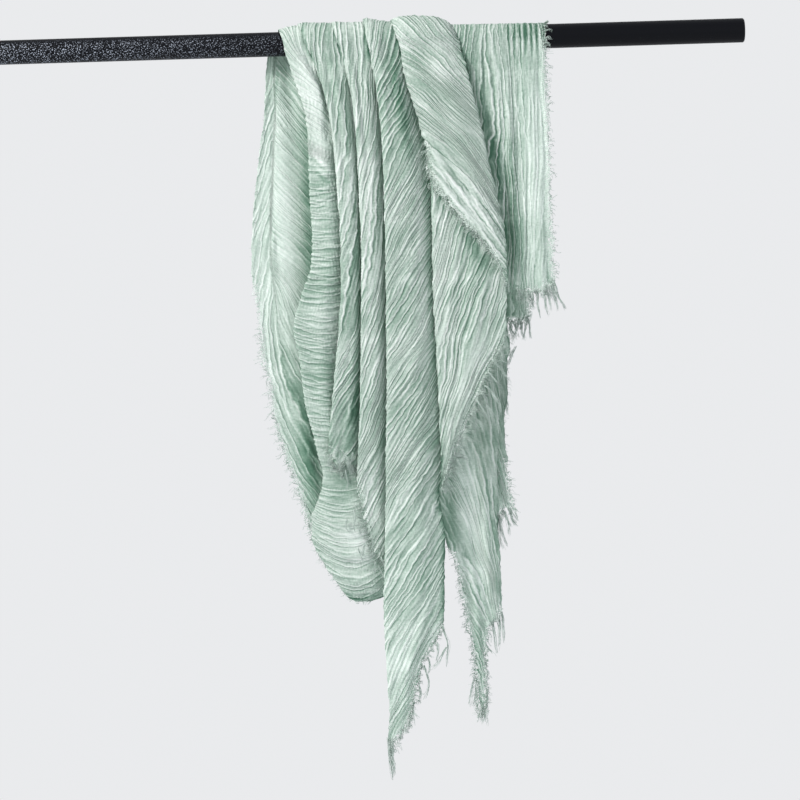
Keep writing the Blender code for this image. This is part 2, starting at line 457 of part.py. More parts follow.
def gathered_x(u, row):
    """Where the share u of a stretch's width lies along the rod."""
    return row[0] + EDGE_EASE + (row[1] - row[0] - 2.0 * EDGE_EASE) * u


def leaf_heights(hem, count):
    """Heights from the rod's axis to the hem, closer together at both ends."""
    heights = []
    for k in range(1, count + 1):
        t = k / count
        heights.append(hem * (0.5 * t + 0.25 * (1.0 - math.cos(math.pi * t))))
    return heights


def cloth_points(stretch):
    """Rows of points of a stretch, from its front hem over the rod to its back hem."""
    _, front, back, gather, gathers, flatness, front_ripple, back_ripple, mesh, _ = stretch
    columns, front_rows, back_rows = mesh
    shares = [k / columns for k in range(columns + 1)]

    def leaf_row(table, height, side, ripple):
        row = table_row(table, height)
        opened = smooth_step(-height / SETTLE)
        ripple_height = ripple[0] * smooth_step((row[1] - row[0]) / RIPPLE_WIDTH - 0.4)
        points = []
        for u in shares:
            x, out = across_leaf(u, row)
            out += ripple_height * math.sin(2.0 * math.pi * ripple[1] * u)
            x_gathered = gathered_x(u, row)
            radius = gather_radius(u, gather, gathers, flatness)
            points.append(Vector((
                x_gathered + (x - x_gathered) * opened,
                side * (radius + (out - radius) * opened),
                height,
            )))
        return points

    def saddle_row(angle):
        rise = math.sin(angle)
        table = front if angle < math.pi / 2 else back
        row = table_row(table, CROWN * rise)
        points = []
        for u in shares:
            radius = gather_radius(u, gather, gathers, flatness)
            x = gathered_x(u, row)
            points.append(Vector((x, -radius * math.cos(angle), radius * rise)))
        return points

    rows = []
    for z in reversed(leaf_heights(front[-1][0], front_rows)):
        rows.append(leaf_row(front, z, -1.0, front_ripple))
    for k in range(SADDLE_STEPS + 1):
        rows.append(saddle_row(math.pi * k / SADDLE_STEPS))
    for z in leaf_heights(back[-1][0], back_rows):
        rows.append(leaf_row(back, z, 1.0, back_ripple))
    return rows


def build_stretch(stretch, rows, collection):
    """A stretch of gauze: an open sheet bent through its rows, and given its wall."""
    name, columns, colour = stretch[0], stretch[8][0], stretch[9]
    bm = bmesh.new()
    bmesh.ops.create_grid(bm, x_segments=columns, y_segments=len(rows) - 1, size=0.5)
    for vertex in bm.verts:
        column = round((vertex.co.x + 0.5) * columns)
        row = round((vertex.co.y + 0.5) * (len(rows) - 1))
        vertex.co = rows[row][column]
    cloth = add_object(bm, name, colour, 0.9, collection)
    cloth.data.shade_smooth()
    wall = cloth.modifiers.new("wall", "SOLIDIFY")
    wall.thickness = WALL
    wall.offset = 0.0
    return cloth


def edge_path(rows, stretch, fringe):
    """Points along the edge that a fringe leaves, each with the point beside it in the cloth."""
    _, _, leaf, edge, top, bottom, _, _, _ = fringe
    front_rows = stretch[8][1]
    if leaf == "front":
        leaf_rows = rows[front_rows::-1]
    else:
        leaf_rows = rows[front_rows + SADDLE_STEPS:]
    if edge == "hem":
        path = list(zip(leaf_rows[-1], leaf_rows[-2]))
        least = STRAND_WIDTH + 4.0 * SEAM
        thinned = [path[0]]
        for pair in path[1:-1]:
            to_end = (path[-1][0] - pair[0]).length
            if (pair[0] - thinned[-1][0]).length > least and to_end > least:
                thinned.append(pair)
        return thinned + [path[-1]]
    kept = [row for row in leaf_rows if bottom <= row[0].z <= top]
    if edge == "left":
        return [(row[0], row[1]) for row in kept]
    return [(row[-1], row[-2]) for row in kept]


def strip_stations(path, threads):
    """Cut the edge into thread roots and the gaps between them, corners kept.

    Each station is (edge point, direction out of the cloth, surface normal, root).
    """
    ends = [pair[0] for pair in path]
    frames = []
    for k, (end, beside) in enumerate(path):
        before = ends[max(k - 1, 0)]
        after = ends[min(k + 1, len(ends) - 1)]
        along = (after - before).normalized()
        out = end - beside
        out = (out - out.project(along)).normalized()
        frames.append((out, along.cross(out).normalized()))
    lengths = [(b - a).length for a, b in zip(ends, ends[1:])]
    pitch = sum(lengths) / threads
    stations = [(ends[0], *frames[0], False)]
    walked = 0.0
    made = 0
    for k, length in enumerate(lengths):
        while made < threads and (made + 0.5) * pitch <= walked + length:
            middle = (made + 0.5) * pitch - walked
            half = 0.5 * STRAND_WIDTH
            middle = min(max(middle, half + SEAM), length - half - SEAM)
            for place, root in ((middle - half, True), (middle + half, False)):
                t = place / length
                point = ends[k].lerp(ends[k + 1], t)
                out = frames[k][0].lerp(frames[k + 1][0], t).normalized()
                normal = frames[k][1].lerp(frames[k + 1][1], t).normalized()
                stations.append((point, out, normal, root))
            made += 1
        walked += length
        stations.append((ends[k + 1], *frames[k + 1], False))
    return stations


def build_fringe(fringe, stretch, rows, collection):
    """Frayed threads: a narrow strip just off the cloth's edge, with threads drawn out of it."""
    name, threads, length, lean = fringe[0], fringe[6], fringe[7], fringe[8]
    stations = strip_stations(edge_path(rows, stretch, fringe), threads)
    count = len(stations) - 1
    pitch = sum((b[0] - a[0]).length for a, b in zip(stations, stations[1:])) / threads
    bm = bmesh.new()
    bmesh.ops.create_grid(bm, x_segments=count, y_segments=1, size=0.5)
    grown = bmesh.ops.extrude_face_region(bm, geom=bm.faces[:])["geom"]
    upper_side = [item for item in grown if isinstance(item, bmesh.types.BMVert)]
    bmesh.ops.translate(bm, verts=upper_side, vec=(0.0, 0.0, 1.0))
    bmesh.ops.recalc_face_normals(bm, faces=bm.faces[:])
    for vertex in bm.verts:
        point, out, normal, _ = stations[round((vertex.co.x + 0.5) * count)]
        reach = SEAM if vertex.co.y < 0.0 else SEAM + STRIP_WIDTH
        vertex.co = point + out * reach + normal * (WALL * (vertex.co.z - 0.5))
    roots = []
    for k, station in enumerate(stations):
        if station[3]:
            middle = station[0].lerp(stations[k + 1][0], 0.5)
            root = middle + station[1] * (SEAM + STRIP_WIDTH)
            face = min(bm.faces, key=lambda item: (item.calc_center_median() - root).length)
            roots.append((k, station, face))
    fall = Vector((lean, 0.0, -1.0)).normalized()
    for k, station, face in roots:
        drawn = bmesh.ops.extrude_discrete_faces(bm, faces=[face])["faces"][0]
        sway = THREAD_SWAY * pitch / length * math.sin(2.4 * k + 1.3 * math.sin(1.7 * k))
        way = (station[1] + 1.6 * (fall + Vector((sway, 0.0, 0.0)))).normalized()
        reach = length * (0.80 + 0.20 * math.sin(3.1 * k + 0.7))
        centre = drawn.calc_center_median()
        for vertex in drawn.verts:
            vertex.co = centre + (vertex.co - centre) * (STRAND_TIP / STRAND_WIDTH) + way * reach
    return add_object(bm, name, PALE_SAGE, 0.9, collection)


def build_rod(collection):
    """The round rod that the scarf hangs on, with lightly broken end edges."""
    bm = bmesh.new()
    bmesh.ops.create_cone(
        bm, cap_ends=True, segments=ROD_SIDES, radius1=ROD_RADIUS, radius2=ROD_RADIUS,
        depth=ROD_RIGHT - ROD_LEFT,
    )
    rims = [edge for edge in bm.edges if abs(edge.verts[0].co.z - edge.verts[1].co.z) < 1e-6]
    bmesh.ops.bevel(
        bm, geom=rims, offset=ROD_CHAMFER, segments=1, profile=0.5, affect="EDGES", material=-1,
    )
    rod = add_object(bm, "rod", BLACK_SATIN, 0.35, collection)
    rod.rotation_euler = (0.0, math.pi / 2, 0.0)
    rod.location = (0.5 * (ROD_LEFT + ROD_RIGHT), 0.0, 0.0)
    rod.data.shade_smooth()
    rod.data.set_sharp_from_angle(angle=math.radians(30.0))
    return rod


clear_scene()
scarf = bpy.data.collections.new("crinkle_hijab_on_rod")
bpy.context.scene.collection.children.link(scarf)
build_rod(scarf)
laid = {}
for stretch_row in STRETCHES:
    point_rows = cloth_points(stretch_row)
    build_stretch(stretch_row, point_rows, scarf)
    laid[stretch_row[0]] = (stretch_row, point_rows)
for fringe_row in FRINGES:
    owner, owner_rows = laid[fringe_row[1]]
    build_fringe(fringe_row, owner, owner_rows, scarf)
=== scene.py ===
import math

import bmesh
import bpy
import numpy as np
from mathutils import Matrix, Vector


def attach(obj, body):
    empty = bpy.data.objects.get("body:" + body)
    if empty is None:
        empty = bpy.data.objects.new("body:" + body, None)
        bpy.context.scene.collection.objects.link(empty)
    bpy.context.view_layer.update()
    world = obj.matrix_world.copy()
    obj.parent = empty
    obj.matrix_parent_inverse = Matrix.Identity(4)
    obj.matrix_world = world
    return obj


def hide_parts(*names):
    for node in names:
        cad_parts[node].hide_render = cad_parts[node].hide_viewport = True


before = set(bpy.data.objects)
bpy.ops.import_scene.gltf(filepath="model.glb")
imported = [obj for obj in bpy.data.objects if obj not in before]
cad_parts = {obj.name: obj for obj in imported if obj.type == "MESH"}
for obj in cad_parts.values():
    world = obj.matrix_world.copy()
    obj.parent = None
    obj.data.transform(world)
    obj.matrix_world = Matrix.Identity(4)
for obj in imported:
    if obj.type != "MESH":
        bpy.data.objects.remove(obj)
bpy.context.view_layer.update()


# ---- The rod -------------------------------------------------------------------------------------
# A steel rod, 25 mm thick, in black satin spray paint with a fine grey speckle that grows towards
# the left and is smooth and darker on the right. The speckle shows only on the rod's lower front,
# where the rod catches the light: there it is partly painted sheen.
ROD_BLACK = (0.0020, 0.0024, 0.0042)
ROD_SPECKLE = (0.340, 0.375, 0.440)
SPECKLE = 900.0                # grains of the spray in a metre
SPECKLE_LEAST = 0.61           # only grains stronger than this show
SPECKLE_CONTRAST = 11.0
SPECKLE_FROM = 0.05            # the speckle starts here and is full SPECKLE_OVER further left
SPECKLE_OVER = 0.40
SHEEN_BELOW = 0.004          # below this height on the rod the speckle, in part painted sheen, is full
SHEEN_FADE = 0.006           # and this much higher it has faded to smooth paint
SPRAY_CLOUDS = 45.0            # clouds of thicker and thinner spray in a metre
SPRAY_CLOUDINESS = 0.6


class Pattern:
    """One output in a material's nodes. A sum or product of patterns adds its Math nodes."""

    def __init__(self, tree, socket=None):
        self.tree = tree
        self.socket = socket

    def node(self, kind, output, settings=(), inputs=()):
        """Add a node: its settings first, then its inputs, each a value or a pattern."""
        made = self.tree.nodes.new(kind)
        for name, value in dict(settings).items():
            if name == "stops":
                ends = made.color_ramp.elements
                ends[0].position, ends[0].color = value[0]
                ends[1].position, ends[1].color = value[-1]
                for place, colour in value[1:-1]:
                    ends.new(place).color = colour
            else:
                setattr(made, name, value)
        for name, value in dict(inputs).items():
            if isinstance(value, Pattern):
                self.tree.links.new(value.socket, made.inputs[name])
            else:
                made.inputs[name].default_value = value
        return Pattern(self.tree, made.outputs[output])

    def maths(self, operation, *values):
        """A Math node of these values."""
        return self.node("ShaderNodeMath", 0, {"operation": operation}, enumerate(values))

    def __add__(self, other):
        return self.maths("ADD", self, other)

    def __sub__(self, other):
        return self.maths("SUBTRACT", self, other)

    def __mul__(self, other):
        return self.maths("MULTIPLY", self, other)

    def __truediv__(self, other):
        return self.maths("DIVIDE", self, other)

    def __radd__(self, other):
        return self.maths("ADD", other, self)

    def __rsub__(self, other):
        return self.maths("SUBTRACT", other, self)

    def __rmul__(self, other):
        return self.maths("MULTIPLY", other, self)

    def __rtruediv__(self, other):
        return self.maths("DIVIDE", other, self)

    def feeds(self, node, name):
        """Link this output to a socket of a node."""
        self.tree.links.new(self.socket, node.inputs[name])

    def size(self):
        """The value without its sign."""
        return self.maths("ABSOLUTE", self)

    def clipped(self):
        """Hold the value between 0 and 1."""
        return self.node("ShaderNodeClamp", 0, (), {0: self, 1: 0.0, 2: 1.0})

    def noise(self, place, scale, detail=2.0, roughness=0.5):
        """Cloudy noise from 0 to 1 at a place."""
        return self.node("ShaderNodeTexNoise", "Fac", (), {
            "Vector": place, "Scale": scale, "Detail": detail, "Roughness": roughness,
        })

    def blend(self, share, start, end):
        """Mix two colours."""
        return self.node("ShaderNodeMix", 2, {"data_type": "RGBA"}, {0: share, 6: start, 7: end})


def new_material(name):
    """An empty material, with its Principled shader and a pattern to start from."""
    material = bpy.data.materials.new(name)
    material.use_nodes = True
    tree = material.node_tree
    return material, tree.nodes["Principled BSDF"], Pattern(tree)


def rod_paint():
    """Black satin paint with a grey speckle, thickest at the left and shown on the rod's lower front only,
    where it is partly painted sheen.
    """
    material, shader, start = new_material("rod_paint")
    place = start.node("ShaderNodeTexCoord", "Object")
    x = start.node("ShaderNodeSeparateXYZ", "X", (), {0: place})
    z = start.node("ShaderNodeSeparateXYZ", "Z", (), {0: place})
    leftness = ((SPECKLE_FROM - x) / SPECKLE_OVER).clipped()
    # the rod's lower front, where it catches the light: painted sheen
    below = (1.0 - (z - SHEEN_BELOW) / SHEEN_FADE).clipped()
    grain = start.noise(place, SPECKLE, 0.0)
    cloud = start.noise(place, SPRAY_CLOUDS) - 0.5
    speckle = ((grain - SPECKLE_LEAST) * SPECKLE_CONTRAST + cloud * SPRAY_CLOUDINESS).clipped()
    speckle_sheen = speckle * leftness * below
    paint = start.blend(speckle_sheen, (*ROD_BLACK, 1.0), (*ROD_SPECKLE, 1.0))
    bump = start.node("ShaderNodeBump", 0, (), {"Strength": 0.12, "Distance": 0.0003, "Height": grain})
    paint.feeds(shader, "Base Color")
    (0.45 + speckle_sheen * 0.3).feeds(shader, "Roughness")
    bump.feeds(shader, "Normal")
    shader.inputs["Specular IOR Level"].default_value = 0.12
    return material


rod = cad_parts["rod"]
rod.data.materials.clear()
rod.data.materials.append(rod_paint())


# ---- The cowl ------------------------------------------------------------------------------------
# The left end of the scarf, one layer of crinkled gauze: a shoulder on the rod, the cowl that swags
# from it in front, and the wide leaf behind. It lies on the rod alone, held by the cloth's weight.
GAUZE = 0.0005                 # thickness of the gauze
FOOT_RADIUS = 0.0137           # middle of the gauze where it lies on the rod
QUARTER = FOOT_RADIUS * math.pi / 2    # cloth from the top of the rod down to its axis
CROWN = 0.0140                 # height at which the front and back tables meet, over the rod
SETTLE = 0.035                 # height over which the gathers on the rod open into the leaf
GATHER_SAMPLES = 2001          # samples across the gathers on the rod
GATHER_BLUR = 141              # samples over which their corners are rounded
PLEAT_ROUND = 2.0              # how late a pleat's face turns back towards its right end
ROLL_SHARE = 0.22              # a rolled edge's radius is at most this share of the leaf's width
RIPPLE_WIDTH = 0.030           # a leaf's ripple sets in while the leaf widens by this much,
RIPPLE_FROM = 0.4              # from this share of it on
LAP = 0.0016                   # how far a stretch runs on under the next one, on the rod
LAP_RISE = 0.0004              # how far its left end rides up on the stretch before it
SADDLE_ROWS = 22               # rows of the mesh that lie over the rod
CELL = 0.001                   # raster on which the crinkles are drawn
RASTER_PAST = (0.004, 0.005)   # how far the raster runs past the cloth at its start and its end
STRIDE = 1.5                   # cells from sample to sample where noise is smeared along the crinkles
PITCH_SPREAD = 0.32            # how far pitches stray from the one asked for, as a natural logarithm
GENTLE = (0.35, 0.35)          # a lean table's middle column holds at this share, eased over this share
WANDER = 4.0                   # degrees by which the crinkles wander about their direction
WANDER_PITCH = 0.030           # distance over which they do so
STEEPEST = 1.15                # radians off straight up past which the line pattern leans no further
STROKE_END = 0.08              # a listed stroke begins and ends this far into its half wave

COWL_FRONT = (
    # z, left, right, out_left, out_right, belly, roll
    (0.014, -0.1250, -0.1045, 0.0137, 0.0137, 0.000, 0.000),
    (0.000, -0.1202, -0.0985, 0.0137, 0.0137, 0.000, 0.000),
    (-0.015, -0.1172, -0.0930, 0.0145, 0.0160, 0.000, 0.000),
    (-0.022, -0.1148, -0.0890, 0.0155, 0.0154, 0.000, 0.000),
    (-0.030, -0.1125, -0.0840, 0.0165, 0.0150, 0.001, 0.001),
    (-0.050, -0.1060, -0.0770, 0.0185, 0.0140, 0.002, 0.002),
    (-0.075, -0.0995, -0.0700, 0.0195, 0.0140, 0.002, 0.003),
    (-0.100, -0.0975, -0.0650, 0.0195, 0.0135, 0.003, 0.003),
    (-0.150, -0.0975, -0.0620, 0.0195, 0.0135, 0.003, 0.003),
    (-0.200, -0.0960, -0.0600, 0.0195, 0.0135, 0.003, 0.003),
    (-0.230, -0.0980, -0.0600, 0.0195, 0.0135, 0.003, 0.003),
    (-0.260, -0.1090, -0.0620, 0.0200, 0.0135, 0.003, 0.003),
    (-0.295, -0.1180, -0.0650, 0.0200, 0.0130, 0.003, 0.003),
    (-0.325, -0.1130, -0.0680, 0.0200, 0.0125, 0.003, 0.003),
    (-0.375, -0.1080, -0.0700, 0.0200, 0.0120, 0.003, 0.003),
    (-0.400, -0.1020, -0.0600, 0.0190, 0.0110, 0.003, 0.003),
    (-0.425, -0.0970, -0.0420, 0.0165, 0.0090, 0.002, 0.003),
    (-0.445, -0.0925, -0.0320, 0.0150, 0.0080, 0.002, 0.002),
    (-0.460, -0.0950, -0.0280, 0.0140, 0.0080, 0.004, 0.000),
    (-0.475, -0.1000, -0.0250, 0.0130, 0.0080, 0.006, 0.000),
    (-0.490, -0.1060, -0.0240, 0.0115, 0.0080, 0.008, 0.000),
    (-0.510, -0.1060, -0.0240, 0.0095, 0.0080, 0.010, 0.000),
    (-0.527, -0.0995, -0.0240, 0.0085, 0.0080, 0.010, 0.000),
    (-0.543, -0.0910, -0.0240, 0.0080, 0.0080, 0.009, 0.000),
    (-0.555, -0.0825, -0.0240, 0.0080, 0.0080, 0.008, 0.000),
    (-0.565, -0.0765, -0.0250, 0.0080, 0.0080, 0.006, 0.000),
    (-0.573, -0.0690, -0.0350, 0.0070, 0.0070, 0.003, 0.000),
    (-0.577, -0.0620, -0.0480, 0.0060, 0.0060, 0.001, 0.000),
)
COWL_BACK = (
    # z, left, right, out_left, out_right, belly, roll
    (0.014, -0.1250, -0.1045, 0.0137, 0.0137, 0.000, 0.000),
    (0.000, -0.1330, -0.1045, 0.0137, 0.0137, 0.000, 0.000),
    (-0.015, -0.1380, -0.1045, 0.0140, 0.0137, 0.000, 0.000),
    (-0.040, -0.1410, -0.1020, 0.0150, 0.0140, 0.001, 0.000),
    (-0.070, -0.1430, -0.0950, 0.0160, 0.0140, 0.002, 0.000),
    (-0.100, -0.1480, -0.0880, 0.0160, 0.0140, 0.002, 0.000),
    (-0.140, -0.1535, -0.0820, 0.0150, 0.0135, 0.002, 0.000),
    (-0.170, -0.1575, -0.0790, 0.0140, 0.0130, 0.002, 0.000),
    (-0.200, -0.1595, -0.0760, 0.0130, 0.0125, 0.002, 0.000),
    (-0.230, -0.1610, -0.0730, 0.0120, 0.0115, 0.002, 0.000),
    (-0.260, -0.1590, -0.0700, 0.0110, 0.0105, 0.002, 0.000),
    (-0.290, -0.1560, -0.0670, 0.0090, 0.0090, 0.002, 0.000),
    (-0.318, -0.1550, -0.0650, 0.0080, 0.0080, 0.002, 0.000),
    (-0.345, -0.1480, -0.0620, 0.0070, 0.0070, 0.002, 0.000),
    (-0.383, -0.1440, -0.0600, 0.0050, 0.0055, 0.002, 0.000),
    (-0.430, -0.1310, -0.0570, 0.0020, 0.0035, 0.002, 0.000),
    (-0.455, -0.1220, -0.0550, 0.0000, 0.0025, 0.002, 0.000),
    (-0.475, -0.1170, -0.0520, -0.0020, 0.0015, 0.002, 0.000),
    (-0.495, -0.1120, -0.0500, -0.0040, 0.0005, 0.002, 0.000),
    (-0.510, -0.1070, -0.0480, -0.0045, 0.0000, 0.002, 0.000),
    (-0.527, -0.1000, -0.0450, -0.0045, -0.0005, 0.001, 0.000),
    (-0.543, -0.0920, -0.0420, -0.0045, -0.0010, 0.001, 0.000),
    (-0.555, -0.0830, -0.0400, -0.0045, -0.0015, 0.000, 0.000),
    (-0.566, -0.0760, -0.0420, -0.0040, -0.0020, 0.000, 0.000),
    (-0.574, -0.0680, -0.0460, -0.0035, -0.0025, 0.000, 0.000),
)
# Which way the crinkles run, in degrees to the right of straight up, seen from the front.
COWL_FRONT_LEANS = (
    # z, left, inner, right
    (0.000, -36.0, -30.0, -8.0),
    (-0.030, -48.0, -46.0, -16.0),
    (-0.060, -58.0, -60.0, -36.0),
    (-0.090, -52.0, -54.0, -40.0),
    (-0.115, -62.0, -74.0, -74.0),
    (-0.145, -78.0, -92.0, -102.0),
    (-0.300, -80.0, -92.0, -104.0),
    (-0.430, -78.0, -90.0, -104.0),
    (-0.480, -66.0, -84.0, -96.0),
    (-0.540, -62.0, -86.0, -100.0),
    (-0.577, -58.0, -90.0, -108.0),
)
COWL_BACK_LEANS = (
    (0.000, 14.0, -14.0, -10.0),
    (-0.030, 18.0, -40.0, -38.0),
    (-0.180, 20.0, -48.0, -44.0),
    (-0.220, 14.0, -46.0, -46.0),
    (-0.270, 0.0, -28.0, -50.0),
    (-0.320, -10.0, -26.0, -34.0),
    (-0.400, -22.0, -25.0, -22.0),
    (-0.500, -32.0, -34.0, -30.0),
    (-0.574, -50.0, -74.0, -90.0),
)


def smooth_step(value):
    """Ease from 0 to 1."""
    value = np.clip(value, 0.0, 1.0)
    return value * value * (3.0 - 2.0 * value)


def table_rows(table, levels):
    """Read a leaf's table at many heights, without overshoot between its rows."""
    rows = np.array(table)[::-1]
    heights, values = rows[:, 0], rows[:, 1:]
    steps = np.diff(heights)[:, None]
    slopes = np.diff(values, axis=0) / steps
    same_way = slopes[:-1] * slopes[1:] > 0.0
    total = np.where(same_way, slopes[:-1] + slopes[1:], 1.0)
    tangents = np.zeros_like(values)
    tangents[1:-1] = np.where(same_way, 2.0 * slopes[:-1] * slopes[1:] / total, 0.0)
    tangents[0], tangents[-1] = slopes[0], slopes[-1]
    levels = np.clip(levels, heights[0], heights[-1])
    k = np.clip(np.searchsorted(heights, levels) - 1, 0, len(steps) - 1)
    step = steps[k]
    t = (levels - heights[k])[:, None] / step
    start = values[k] * (1.0 + 2.0 * t) * (1.0 - t) ** 2 + step * tangents[k] * t * (1.0 - t) ** 2
    end = values[k + 1] * t * t * (3.0 - 2.0 * t) + step * tangents[k + 1] * t * t * (t - 1.0)
    return start + end


def walked_along(points):
    """How far each point of a line of points, or of many lines, lies from its line's start."""
    steps = np.linalg.norm(np.diff(points, axis=-2), axis=-1)
    return np.concatenate([np.zeros_like(steps[..., :1]), np.cumsum(steps, axis=-1)], axis=-1)


def both_leaves(front, back, along):
    """Rows of the front and back tables, for distances along the cloth from the top of the rod."""
    angle = math.pi * np.clip(0.5 + along / (2.0 * QUARTER), 0.0, 1.0)
    height = np.minimum(QUARTER - np.abs(along), 0.0)
    level = height + CROWN * np.sin(angle)
    rows = np.where((along < 0.0)[:, None], table_rows(front, level), table_rows(back, level))
    return rows, height[:, None], angle[:, None]


def across_leaf(u, rows):
    """Place the shares u of a leaf's width: x, how far out from the rod, and the share on the fold."""
    left, right, out_left, out_right, belly, roll = (rows[:, k:k + 1] for k in range(6))
    width = right - left
    radius = np.minimum(np.abs(roll), ROLL_SHARE * width)
    share = np.maximum(math.pi * radius / (math.pi * radius + width - radius), 1e-6)
    from_edge = np.where(roll < 0.0, 1.0 - u, u)
    rolled = from_edge < share
    turn = math.pi * np.minimum(from_edge / share, 1.0)
    along = np.clip((from_edge - share) / (1.0 - share), 0.0, 1.0)
    inset = np.where(rolled, radius * (1.0 - np.sin(turn)), radius + along * (width - radius))
    tuck = np.where(rolled, radius * (1.0 + np.cos(turn)), 0.0)
    x = np.where(roll < 0.0, right - inset, left + inset)
    along = np.where(roll < 0.0, 1.0 - along, along)
    out = out_left + (out_right - out_left) * along ** PLEAT_ROUND
    out = out + belly * np.sin(math.pi * along) - tuck
    return x, out, np.where(roll < 0.0, 0.0, 0.5 * share)


def gathers(gather, width, u):
    """Spread the shares u of the cloth over its gathers on the rod: their places and their heights."""
    fine = np.linspace(0.0, 1.0, GATHER_SAMPLES)
    hump = np.interp(fine, *zip(*gather))
    hump = np.convolve(np.pad(hump, GATHER_BLUR // 2, "edge"), np.ones(GATHER_BLUR) / GATHER_BLUR, "valid")
    walked = np.cumsum(np.hypot(np.diff(fine, prepend=0.0) * width, np.diff(hump, prepend=0.0)))
    gathered = np.interp(u, walked / walked[-1], fine)
    return gathered, np.interp(gathered, fine, hump)


def lay_cloth(front, back, gather, ripples, along, columns):
    """Bend a sheet over the rod. Returns its points and each point's place on the flat cloth."""
    rows, height, angle = both_leaves(front, back, along)
    left, right = rows[:, :1], rows[:, 1:2]
    u = np.linspace(0.0, 1.0, columns + 1)[None, :]
    top = rows[len(along) // 2]
    gathered, stands = gathers(gather, top[1] - top[0], u)
    radius = FOOT_RADIUS + stands + LAP_RISE * (1.0 - 2.0 * gathered)
    x_gathered = left + (right + LAP - left) * gathered
    x, out, fold = across_leaf(u, rows)
    wide_enough = smooth_step((right - left) / RIPPLE_WIDTH - RIPPLE_FROM)
    for (swell, count), leaf in zip(ripples, (along < 0.0, along >= 0.0)):
        out = out + leaf[:, None] * wide_enough * swell * np.sin(2.0 * math.pi * count * u)
    opened = smooth_step(-height / SETTLE)
    x = x_gathered + (x - x_gathered) * opened
    radius = radius + (out - radius) * opened
    points = np.stack([x, -radius * np.cos(angle), height + radius * np.sin(angle)], axis=-1)
    walked = walked_along(points)
    at_fold = np.array([np.interp(fold[k, 0], u[0], walked[k]) for k in range(len(along))])
    return points, left + walked - at_fold[:, None]


def soft_noise(shape, pitch, rng):
    """Smooth random hills about a pitch apart, of spread 1."""
    rows = np.fft.fftfreq(shape[0], CELL)[:, None]
    columns = np.fft.rfftfreq(shape[1], CELL)[None, :]
    reach = (rows ** 2 + columns ** 2) * pitch ** 2
    hills = np.fft.irfft2(np.fft.rfft2(rng.standard_normal(shape)) * np.exp(-2.0 * reach), s=shape)
    return hills / hills.std()


def lean_angles(table, z, share, middle, ease):
    """Directions of a leaf's crinkles at heights and shares of its width, in radians."""
    rows = np.array(table)[::-1]
    left, inner, right = (np.interp(z, rows[:, 0], rows[:, k]) for k in (1, 2, 3))
    near = smooth_step((share - middle) / ease + 1.0)
    far = smooth_step((share - middle) / (1.0 - middle))
    return np.radians(left + (inner - left) * near + (right - inner) * far)


def crinkle_directions(front, back, front_leans, back_leans, p, q, rng, back_fold):
    """Directions of the crinkles over the raster of a whole stretch."""
    rows, height, _ = both_leaves(front, back, q)
    share = (p[None, :] - rows[:, :1]) / (rows[:, 1:2] - rows[:, :1])
    in_front = lean_angles(front_leans, height, share, *GENTLE)
    behind = -lean_angles(back_leans, height, share, *back_fold)
    over = smooth_step(0.5 + q / (2.0 * QUARTER))[:, None]
    wander = math.radians(WANDER) * soft_noise(share.shape, WANDER_PITCH, rng)
    return in_front + (behind - in_front) * over + wander


def drawn_crinkles(directions, pitch, reach, rng):
    """Crinkles a pitch apart that run along the directions: noise, smeared that way and sharpened."""
    shape = directions.shape
    noise = rng.standard_normal(shape)
    climb, stray = np.cos(directions), np.sin(directions)
    total = noise.copy()
    steps = int(reach / (2.0 * STRIDE * CELL))
    for way in (STRIDE, -STRIDE):
        row, column = (place.astype(float) for place in np.indices(shape))
        for k in range(1, steps + 1):
            at = (np.clip(np.rint(row), 0, shape[0] - 1).astype(int),
                  np.clip(np.rint(column), 0, shape[1] - 1).astype(int))
            row = row + way * climb[at]
            column = column + way * stray[at]
            at = (np.rint(row).astype(int) % shape[0], np.rint(column).astype(int) % shape[1])
            total += noise[at] * (0.5 + 0.5 * math.cos(math.pi * k / steps))
    rows = np.fft.fftfreq(shape[0], CELL)[:, None]
    columns = np.fft.rfftfreq(shape[1], CELL)[None, :]
    off_pitch = np.log(np.maximum(np.hypot(rows, columns), 1e-6) * pitch)
    ring = np.exp(-off_pitch ** 2 / (2.0 * PITCH_SPREAD ** 2))
    lines = np.fft.irfft2(np.fft.rfft2(total) * ring, s=shape)
    return lines / lines.std()


def line_numbers(directions, p, q, back_start):
    """Number the lines that follow the directions, by where they cross one row of the cloth.

    That row is the top of the rod, or behind the rod the height back_start where one is given.
    """
    drift = np.tan(np.clip(directions, -STEEPEST, STEEPEST)) * CELL
    numbers = np.zeros(directions.shape)
    first_behind = len(q) if back_start is None else int(np.searchsorted(q, QUARTER))
    parts = [(0, first_behind, int(np.argmin(np.abs(q))))]
    if back_start is not None:
        parts.append((first_behind, len(q), int(np.argmin(np.abs(q - QUARTER + back_start)))))
    for low, high, middle in parts:
        numbers[middle] = p
        for way, rows in ((1, range(middle + 1, high)), (-1, range(middle - 1, low - 1, -1))):
            for k in rows:
                source = p - way * drift[k]
                inside = np.clip(source, p[0], p[-1])
                numbers[k] = np.interp(inside, p, numbers[k - way]) + source - inside
    return numbers


def read_raster(raster, p, q, at_p, at_q):
    """Read a raster between its cells."""
    column = np.clip((at_p - p[0]) / CELL, 0.0, len(p) - 1.001)
    row = np.clip((at_q - q[0]) / CELL, 0.0, len(q) - 1.001)
    j, i = column.astype(int), row.astype(int)
    s, t = column - j, row - i
    lower = raster[i, j] * (1.0 - s) + raster[i, j + 1] * s
    upper = raster[i + 1, j] * (1.0 - s) + raster[i + 1, j + 1] * s
    return lower * (1.0 - t) + upper * t


